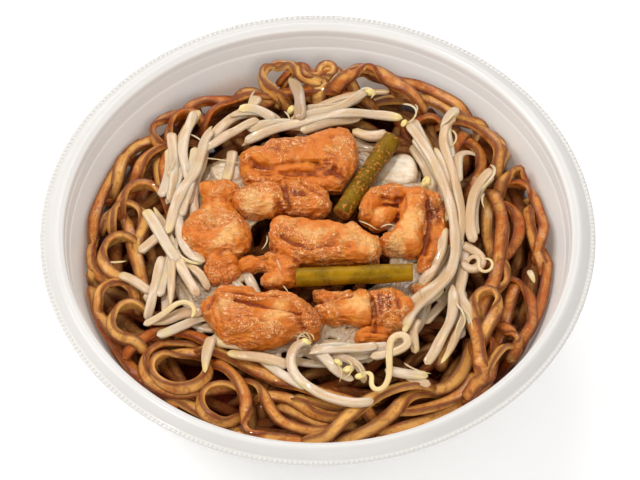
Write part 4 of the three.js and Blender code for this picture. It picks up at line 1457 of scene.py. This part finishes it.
def lay_sprout(pile, strands, strand, settings, random, ceiling=None):
    """Lays a sprout on the pile. A loose one, under a ceiling, is left out where it can't fit."""
    width = settings.width / MM * random.uniform(0.8, 1.08)
    path = strand_path(strand)
    support = np.maximum(pile.under(path, width * 0.35) - 0.4, above_wall(path, width / 2))
    height = laid(path, support, width * settings.flatness, SPROUT_SAG, width)
    if ceiling:
        height, excess = settle(height, width * 0.3, ceiling, path)
        if excess > SPROUT_EXCESS:
            return
    else:
        height = np.clip(height, strand[2] - 0.8, strand[2] + 1.4)
    pile.cover(path, width / 2, height + width * settings.flatness / 2, width * 0.25)
    steps = np.arange(len(path))
    from_root = steps if random.random() < 0.5 else steps[::-1]
    least = random.choice((0.3, 0.5, 0.8, 0.95))
    taper = np.clip(least + (1 - least) * from_root / random.uniform(4, 9), 0, 1)
    wave = 1 + 0.07 * np.sin(steps / random.uniform(1.6, 5) + random.uniform(0, 6))
    sizes = width * MM / settings.width * taper * wave * round_ends(len(path), 1.5)
    tail = np.clip(1 - from_root / 8, 0, 1) * random.uniform(0, 1)
    tilt = random.uniform(-0.35, 0.35) + 0.3 * np.sin(steps / random.uniform(5, 12))
    stain = strand[6] if len(strand) > 6 else 0
    strands.add(np.column_stack((path, height)), tilt, sizes, random.random(), tail, stain)


def companion(strand, random):
    """A strand that lies beside another, a little lower, shorter and not quite parallel."""
    x, y, z, heading, size, turns = strand[:6]
    shift = random.normal(0, 2.4, 2)
    bends = [turn * random.uniform(0.92, 1.05) + random.normal(0, 3) for turn in turns]
    lower = z - random.uniform(0.4, 1.6)
    turned = heading + random.normal(0, 6)
    return [x + shift[0], y + shift[1], lower, turned, size * random.uniform(0.7, 1.1), bends]


def lay_root(strands, root, settings, random):
    """A thin root that floats on what lies below it."""
    path = strand_path(root)
    count = len(path)
    away = np.arange(count) / count
    height = np.full(count, root[2] + 0.6) + np.sin(away * math.pi)
    sizes = root[6] * MM / settings.width * (1 - 0.55 * away) * round_ends(count, 2)
    points = np.column_stack((path, height))
    strands.add(points, np.zeros(count), sizes, random.random(), 0.2 + away * 0.6)


HEAD_RINGS = 15
HEAD_SIDES = 18
HEAD_LIFT = 0.8


def head_points(middle, heading, size):
    """A bean's two halves, grooved along where they meet."""
    cosine, sine = math.cos(heading), math.sin(heading)
    turned = Matrix(((cosine, sine), (-sine, cosine)))
    points = []
    for polar in np.linspace(0, math.pi, HEAD_RINGS):
        for side in range(HEAD_SIDES):
            turn = 2 * math.pi * side / HEAD_SIDES
            groove = math.exp(-((math.sin(turn * 2 - 0.4) / 0.3) ** 2)) * (math.cos(turn - 0.2) > 0)
            half = math.sin(polar) * size * (1 - 0.28 * groove)
            x = math.cos(polar) * size / 2
            y = math.cos(turn) * half * 0.34
            spot = middle + Vector((x, y, math.sin(turn) * half * 0.27))
            spot.xy = middle.xy + Vector((x, y)) @ turned
            points.append(tuple(spot))
    return points


def heads_piece():
    """The yellow heads of the sprouts, as one piece."""
    skin = ring_faces(HEAD_RINGS, HEAD_SIDES)
    points, faces = [], []
    for x, y, z, heading, size in HEADS:
        faces += [tuple(len(points) + corner for corner in face) for face in skin]
        points += head_points(Vector((x, y, z + HEAD_LIFT)), math.radians(heading), size)
    piece = new_piece("sprout_heads", points, faces=faces)
    close_poles(piece)
    return piece


def head_finish(settings):
    finish = Finish("sprout_head")
    spots = finish.noise(1.2, 3)
    base = finish.mix(finish.ramp(spots, 0.45, 0.7), settings.head, darker(settings.head, 0.6))
    relief = finish.bump(spots, 0.2)
    return finish.done(Base_Color=base, Roughness=0.3, Normal=relief, Coat_Weight=0.2)


class YAKISOBA_OT_sprouts(bpy.types.Operator):
    """The bean sprouts round and under the meat"""

    bl_idname = "yakisoba.sprouts"
    bl_label = "Bean sprouts"

    def execute(self, context):
        settings = context.scene.yakisoba_sprouts
        random = np.random.default_rng(settings.seed)
        pile = Heap.pile
        lower = Strands()
        for _ in range(settings.tries):
            radius = BED_RADIUS * math.sqrt(random.uniform(0, 1))
            strand = anywhere(random, BED_MIDDLE, radius, 18, 40, 12, 0.1)
            lay_sprout(pile, lower, strand, settings, random, bed_top)
        random = np.random.default_rng(settings.seed + 2)
        upper = Strands()
        for strand in SPROUTS:
            size, turns = strand[4:6]
            if abs(sum(turns)) < 90 and size > 24:
                for _ in range(settings.companions):
                    lay_sprout(pile, upper, companion(strand, random), settings, random)
        for strand in SPROUTS:
            lay_sprout(pile, upper, strand, settings, random)
        for root in ROOTS:
            lay_root(upper, root, settings, random)
        tree = strand_tree("Sprout", sprout_finish(settings))
        values = {
            "Width": settings.width,
            "Thickness": settings.width * settings.flatness,
            "Edge": settings.edge,
        }
        finish_piece(lower.piece("sprouts_below", tree, 1.2, 2, values), "sprout")
        finish_piece(upper.piece("sprouts_on_top", tree, 0.9, 3, values), "sprout", "bean_sprouts")
        finish_piece(heads_piece(), "sprout", material=head_finish(settings))
        return {"FINISHED"}


# ---------------------------------------------------------------- meat

# Added all round a slab, because smoothing draws its skin in again.
SLAB_GROWTH = 0.5
SLAB_GRID = 0.4
ONION_VOXEL = 0.4


def curved(corners):
    """A smooth closed curve through the corners of an outline."""
    steps = 6
    here = np.array(corners, float)
    before, after, beyond = (np.roll(here, k, axis=0) for k in (1, -1, -2))
    t = np.arange(steps)[:, None, None] / steps
    curve = 2 * here + (after - before) * t
    curve = curve + (2 * before - 5 * here + 4 * after - beyond) * t**2
    curve = curve + (3 * here - before - 3 * after + beyond) * t**3
    return (curve / 2).transpose(1, 0, 2).reshape(-1, 2)


def within(spots, outline):
    """Whether each spot lies inside a closed outline."""
    first, second = outline, np.roll(outline, -1, axis=0)
    across = (first[:, 1] > spots[:, 1, None]) != (second[:, 1] > spots[:, 1, None])
    rise = np.where(second[:, 1] == first[:, 1], 1e-9, second[:, 1] - first[:, 1])
    cut = first[:, 0] + (spots[:, 1, None] - first[:, 1]) * (second[:, 0] - first[:, 0]) / rise
    return ((spots[:, 0, None] < cut) & across).sum(axis=1) % 2 == 1


def grown(outline, reach):
    """A closed outline moved outwards."""
    along = np.roll(outline, -1, axis=0) - np.roll(outline, 1, axis=0)
    after = np.roll(outline, -1, axis=0)
    area = (outline[:, 0] * after[:, 1] - after[:, 0] * outline[:, 1]).sum()
    out = np.column_stack((along[:, 1], -along[:, 0])) * np.sign(area)
    return outline + out / np.maximum(np.hypot(*out.T), 1e-6)[:, None] * reach


def slab_points(slab):
    """A closed skin over and under a slab's outline, on a grid."""
    outline = grown(curved(slab.outline), SLAB_GROWTH)
    low, high = outline.min(axis=0) - SLAB_GRID, outline.max(axis=0) + SLAB_GRID
    x, y = np.meshgrid(*(np.arange(a, b, SLAB_GRID) for a, b in zip(low, high)), indexing="ij")
    spots = np.column_stack((x.ravel(), y.ravel()))
    inside = within(spots, outline).reshape(x.shape)
    spots = spots[inside.ravel()]
    depth = away_from(spots, np.vstack((outline, outline[:1])))
    rise = np.sqrt(1 - (1 - np.minimum(depth / slab.edge, 1)) ** 2)
    middle = slab.base + 0.4 * (slab.top - slab.base)
    tops = middle + (slab.top - middle) * rise
    bottoms = middle - (middle - slab.base) * rise
    points = np.vstack((np.column_stack((spots, tops)), np.column_stack((spots, bottoms))))
    index = np.full(x.shape, -1)
    index[inside] = np.arange(len(spots))
    cells = inside[:-1, :-1] & inside[1:, :-1] & inside[:-1, 1:] & inside[1:, 1:]
    faces, rim = [], {}
    for i, j in zip(*np.nonzero(cells)):
        ring = (index[i, j], index[i + 1, j], index[i + 1, j + 1], index[i, j + 1])
        faces += [ring, tuple(v + len(spots) for v in ring[::-1])]
        for a, b in zip(ring, ring[1:] + ring[:1]):
            if rim.pop((b, a), None) is None:
                rim[a, b] = True
    faces += [(b, a, a + len(spots), b + len(spots)) for a, b in rim]
    return points, faces


def slab_piece(name, slabs, voxel):
    """Slabs joined into one smooth skin."""
    points, faces = [], []
    for slab in slabs:
        more, skin = slab_points(slab)
        faces += [tuple(int(v) + len(points) for v in face) for face in skin]
        points += more.tolist()
    piece = new_piece(name, points, faces=faces)
    remesh = piece.modifiers.new("Skin", "REMESH")
    remesh.mode = "VOXEL"
    remesh.voxel_size = voxel
    smooth = piece.modifiers.new("Soften", "SMOOTH")
    smooth.iterations = 5
    smooth.factor = 0.5
    return plain(piece)


def mesh_arrays(mesh):
    """Places in millimetres, normals and the two ends of every edge."""
    count = len(mesh.vertices)
    places = np.empty(count * 3)
    mesh.vertices.foreach_get("co", places)
    normals = np.empty(count * 3)
    mesh.vertex_normals.foreach_get("vector", normals)
    ends = np.empty(len(mesh.edges) * 2, int)
    mesh.edges.foreach_get("vertices", ends)
    return places.reshape(-1, 3) / MM, normals.reshape(-1, 3), ends.reshape(-1, 2)


def eased(values, ends, rounds):
    """Values on a mesh, each drawn towards the mean of its neighbours, round after round."""
    beside = np.bincount(ends.ravel(), minlength=len(values)).astype(float)
    beside = np.maximum(beside, 1).reshape(-1, *[1] * (values.ndim - 1))
    for _ in range(rounds):
        total = np.zeros_like(values)
        np.add.at(total, ends[:, 0], values[ends[:, 1]])
        np.add.at(total, ends[:, 1], values[ends[:, 0]])
        values = 0.5 * values + 0.5 * total / beside
    return values


def pushed(piece, lift):
    """Moves every point of a piece along its normal by a number of millimetres."""
    places, normals, _ = mesh_arrays(piece.data)
    moved = (places + normals * lift[:, None]) * MM
    piece.data.vertices.foreach_set("co", moved.ravel())
    piece.data.update()


def away_from(places, line):
    """Distance of each place from a line of [x, y] points, seen from above."""
    line = np.asarray(line, float)
    nearest = np.full(len(places), 1e9)
    for start, end in zip(line[:-1], line[1:]):
        step = end - start
        share = np.clip((places[:, :2] - start) @ step / (step @ step), 0, 1)
        gap = places[:, :2] - start - share[:, None] * step
        nearest = np.minimum(nearest, np.hypot(*gap.T))
    return nearest


def lumpy(places):
    return np.array([noise.noise(Vector(place)) for place in places])


def roughen(piece, name, shift):
    """Gives a piece its folds, its grain and the attributes that colour them."""
    places, normals, _ = mesh_arrays(piece.data)
    broad = lumpy(places * 0.16 + shift)
    lumps = lumpy(places * 0.42 + shift)
    fibres = lumpy(places * (0.35, 1.1, 1.1) + shift)
    grain = np.array([noise.voronoi(Vector(p))[0][0] for p in places * 0.85 + shift])
    patch = np.clip(0.5 + 1.8 * lumpy(places * 0.15 - shift), 0, 1)
    lift = 0.9 * broad + 0.5 * lumps + 0.4 * fibres * (1 - patch) - 0.35 * grain * patch
    for line, depth, width in FOLDS.get(name, ()):
        near = np.exp(-((away_from(places, line) / width) ** 2)) * np.clip(normals[:, 2] * 2, 0, 1)
        lift -= depth * near
    pushed(piece, lift)
    tone = np.zeros(len(places))
    for x, y, radius, amount in TONES.get(name, ()):
        away = np.hypot(places[:, 0] - x, places[:, 1] - y) / radius
        tone += amount * np.exp(-(away**2))
    places, normals, ends = mesh_arrays(piece.data)
    cavity = ((eased(places, ends, 14) - places) * normals).sum(axis=1)
    store(piece.data, "cavity", np.clip(eased(cavity, ends, 1) * 2.2, -1, 1))
    store(piece.data, "tone", tone)
    store(piece.data, "patch", patch)


def meat_finish(settings):
    """Orange marinade: deep red with painted shade in the folds, pale where bare, with pale specks of fat
    and painted glints.
    """
    finish = Finish("meat")
    cavity = finish.attribute("cavity")
    tone = finish.attribute("tone")
    patch = finish.noise(5, 3, 0.6, 0.4)
    broad = finish.noise(11, 2)
    speck = finish.noise(0.9, 3, 0.6)
    fine = finish.noise(0.4, 2)
    worms = finish.noise(0.85, 1, 0.5, 1.6)
    yellow = finish.ramp(finish.noise(3.5, 2), 0.5, 0.7)
    base = finish.mix(yellow * 0.5, settings.marinade, settings.gold)
    bare = finish.ramp(tone * 0.55 + patch + fine * 0.15, 0.6, 0.95)
    base = finish.mix(bare, base, settings.pale)
    # Painted shade in the folds, with marinade gathered there.
    red = finish.ramp(cavity + speck * 0.6 - tone * 0.7 - patch * 0.3 + broad * 0.4, 0.3, 1.1)
    base = finish.mix(red * 0.9, base, settings.deep)
    where = finish.ramp(broad + patch * 0.4 - cavity * 0.3, 0.64, 0.82)
    # Painted glints: pale specks standing in for highlights on the wet grain, partly grains of fat.
    specks = finish.ramp(worms, 0.56, 0.64) * where
    base = finish.mix(specks * 0.8, base, settings.fat_and_glints)
    gaps = finish.ramp(worms, 0.46, 0.36) * where
    base = finish.mix(gaps * 0.3, base, settings.deep)
    relief = finish.bump(worms * where * 0.8 + speck * 0.6 + fine * 0.3, 0.7)
    return finish.done(
        Base_Color=base,
        Roughness=0.14 + speck * 0.35,
        Normal=relief,
        Specular_IOR_Level=0.7,
        Specular_Tint=(1, 0.6, 0.36, 1),
        Coat_Weight=0.1,
        Coat_Roughness=0.06,
        Subsurface_Weight=0.1,
        Subsurface_Radius=(1, 0.35, 0.12),
        Subsurface_Scale=0.001,
    )


class YAKISOBA_OT_meat(bpy.types.Operator):
    """The nine pieces of marinated meat"""

    bl_idname = "yakisoba.meat"
    bl_label = "Meat"

    def execute(self, context):
        settings = context.scene.yakisoba_meat
        coat = meat_finish(settings)
        for number, (node, slabs) in enumerate(MEAT.items()):
            piece = slab_piece(node + "_cooked", slabs, settings.voxel)
            roughen(piece, node, 40.0 + 17 * number)
            finish_piece(piece, "meat", node, material=coat)
        return {"FINISHED"}


# ---------------------------------------------------------------- stems and onion

STEM_SIDES = 32
STEM_SAUCE = {"stem_back": 0.8, "stem_front": 0.15}


def stem_finish(settings, name, sauce):
    """Olive green under a share of sauce and grains, with brown cut ends."""
    finish = Finish(name)
    streaks = finish.noise(1.2, 3, 0.6)
    blotch = finish.noise(7, 2)
    fine = finish.noise(0.5, 3)
    green = darker(settings.green, 1 - 0.5 * sauce)
    base = finish.mix(finish.ramp(blotch + fine * 0.2, 0.4, 0.8), green, darker(green, 0.4))
    base = finish.mix(finish.attribute("cut") * 0.8, base, settings.cut)
    specks = finish.ramp(streaks + blotch * 0.3, 0.74 - 0.06 * sauce, 0.84 - 0.06 * sauce)
    base = finish.mix(specks * sauce, base, settings.sauce)
    relief = finish.bump(streaks, 0.15 + 0.5 * sauce)
    relief = finish.bump(fine, 0.1, relief)
    return finish.done(
        Base_Color=base,
        Roughness=0.22 + fine * 0.2,
        Normal=relief,
        Specular_Tint=(1, 0.7, 0.1, 1),
        Coat_Weight=0.05,
        Coat_Roughness=0.08,
    )


def stem_piece(name, start, end, radius, rough):
    """A cut stem: a slightly uneven rod with rounded cut edges."""
    start, end = Vector(start), Vector(end)
    axis = (end - start).normalized()
    across = Vector((0, 0, 1)).cross(axis).normalized()
    up = axis.cross(across)
    reach = (end - start).length
    stations = [(0, 0), (0, 0.55), (0, 0.88), (0.25, 0.97), (0.8, 1)]
    steps = int(reach / 0.8)
    stations += [(0.8 + (reach - 1.6) * i / steps, 1) for i in range(1, steps)]
    stations += [(reach - 0.8, 1), (reach - 0.25, 0.97), (reach, 0.88), (reach, 0.5), (reach, 0)]
    points, cut = [], []
    for along, share in stations:
        place = start + axis * along
        slow = noise.noise(place * 0.12) * 0.25
        for side in range(STEM_SIDES):
            turn = 2 * math.pi * side / STEM_SIDES
            quick = noise.noise(place * 0.9 + up * math.cos(turn) * 2) * rough
            size = share * (radius + (slow + quick))
            points.append(place + across * math.cos(turn) * size + up * math.sin(turn) * size * 0.96)
            cut.append(1.0 if share < 0.9 else 0.0)
    piece = new_piece(name, points, faces=ring_faces(len(stations), STEM_SIDES))
    store(piece.data, "cut", cut)
    close_poles(piece)
    return piece


def onion_finish(settings):
    finish = Finish("onion")
    along = finish.node("ShaderNodeMapping", {"Vector": finish.place, "Scale": (0.25, 1, 1)})
    veins = finish.noise(1.6, 2, vector=along)
    clear = finish.ramp(finish.noise(5, 3, 0.6) + veins * 0.3, 0.5, 0.8)
    base = finish.mix(clear, settings.onion, settings.clear)
    return finish.done(
        Base_Color=base,
        Roughness=0.2,
        Normal=finish.bump(veins, 0.8),
        Coat_Weight=0.3,
        Coat_Roughness=0.08,
        Subsurface_Weight=0.4,
        Subsurface_Radius=(1, 0.8, 0.5),
        Subsurface_Scale=0.002,
    )


class YAKISOBA_OT_greens(bpy.types.Operator):
    """The two garlic stems and the slices of onion"""

    bl_idname = "yakisoba.greens"
    bl_label = "Stems and onion"

    def execute(self, context):
        settings = context.scene.yakisoba_greens
        radius = settings.stem_radius / MM
        for node, (start, end) in STEMS.items():
            sauce = STEM_SAUCE[node]
            piece = stem_piece(node + "_cut", start, end, radius, 0.35 * sauce)
            finish_piece(piece, "stem", node, material=stem_finish(settings, node + "_skin", sauce))
        skin = onion_finish(settings)
        for name, slabs in ONIONS.items():
            piece = slab_piece(name + "_slice", slabs, ONION_VOXEL * MM)
            nodes = [name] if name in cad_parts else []
            finish_piece(piece, "onion", *nodes, material=skin)
        return {"FINISHED"}


# ---------------------------------------------------------------- stage

FLOOR_HALF = 3000
VIEW_SHIFT = 0.8


def area_light(name, place, aim, size, power):
    """A round lamp: its place, what it points at, its diameter in metres and its power in watts."""
    light = bpy.data.lights.new(name, "AREA")
    light.shape = "DISK"
    light.size = size
    light.energy = power
    lamp = bpy.data.objects.new(name, light)
    bpy.context.collection.objects.link(lamp)
    lamp.location = place
    lamp.rotation_euler = (Vector(aim) - Vector(place)).to_track_quat("-Z", "Y").to_euler()


class YAKISOBA_OT_stage(bpy.types.Operator):
    """Floor, light and camera"""

    bl_idname = "yakisoba.stage"
    bl_label = "Stage"

    def execute(self, context):
        settings = context.scene.yakisoba_stage
        corners = [(x * FLOOR_HALF, y * FLOOR_HALF, 0) for x, y in ((-1, -1), (1, -1), (1, 1), (-1, 1))]
        floor = new_piece("floor", corners, faces=[(0, 1, 2, 3)])
        finish = Finish("floor")
        pale = finish.mix(finish.noise(400, 1), settings.floor, darker(settings.floor, 0.99))
        glow = {"Emission_Color": (1, 1, 1, 1), "Emission_Strength": 0.2}
        floor.data.materials.append(finish.done(Base_Color=pale, Roughness=0.9, **glow))

        middle = (VIEW_SHIFT * MM, 0, LIP_Z * MM)
        down = settings.elevation
        camera = bpy.data.objects.new("camera", bpy.data.cameras.new("camera"))
        context.collection.objects.link(camera)
        camera.location = (
            middle[0],
            middle[1] - settings.distance * math.cos(down),
            middle[2] + settings.distance * math.sin(down),
        )
        camera.rotation_euler = (math.pi / 2 - down, 0, 0)
        camera.data.type = "ORTHO"
        camera.data.ortho_scale = settings.view_width
        context.scene.camera = camera

        world = bpy.data.worlds.new("studio")
        context.scene.world = world
        world.use_nodes = True
        sky = world.node_tree.nodes["Background"].inputs
        sky["Color"].default_value = (1, 1, 1, 1)
        sky["Strength"].default_value = 0.7
        area_light("key", (-0.85, 0.2, 0.9), middle, 0.5, 4)
        area_light("glint", (-0.35, 0.2, 1.2), middle, 0.06, 4.8)
        area_light("fill", (0.3, -0.95, 0.75), middle, 0.7, 3)
        area_light("rear", (0.1, 0.9, 1.0), middle, 0.5, 3)
        context.scene.view_settings.view_transform = "Standard"
        return {"FINISHED"}


# ---------------------------------------------------------------- panel and registration

# The settings of each step, in the order in which the steps run.
SETTINGS = {
    "bowl": BowlSettings,
    "noodles": NoodleSettings,
    "sprouts": SproutSettings,
    "meat": MeatSettings,
    "greens": GreensSettings,
    "stage": StageSettings,
}


class YAKISOBA_PT_panel(bpy.types.Panel):
    """Makes the pieces one after another"""

    bl_idname = "YAKISOBA_PT_panel"
    bl_label = "Yakisoba"
    bl_space_type = "VIEW_3D"
    bl_region_type = "UI"
    bl_category = "Yakisoba"

    def draw(self, context):
        for step in SETTINGS:
            self.layout.operator("yakisoba." + step)
            settings = getattr(context.scene, "yakisoba_" + step)
            for name in settings.bl_rna.properties.keys():
                if name not in ("rna_type", "name"):
                    self.layout.prop(settings, name)


CLASSES = (
    *SETTINGS.values(),
    YAKISOBA_OT_bowl,
    YAKISOBA_OT_noodles,
    YAKISOBA_OT_sprouts,
    YAKISOBA_OT_meat,
    YAKISOBA_OT_greens,
    YAKISOBA_OT_stage,
    YAKISOBA_PT_panel,
)


def register():
    for item in CLASSES:
        bpy.utils.register_class(item)
    for step, group in SETTINGS.items():
        setattr(bpy.types.Scene, "yakisoba_" + step, PointerProperty(type=group))


def unregister():
    for step in SETTINGS:
        delattr(bpy.types.Scene, "yakisoba_" + step)
    for item in reversed(CLASSES):
        bpy.utils.unregister_class(item)


def main():
    register()
    for step in SETTINGS:
        getattr(bpy.ops.yakisoba, step)()


if __name__ == "__main__":
    main()
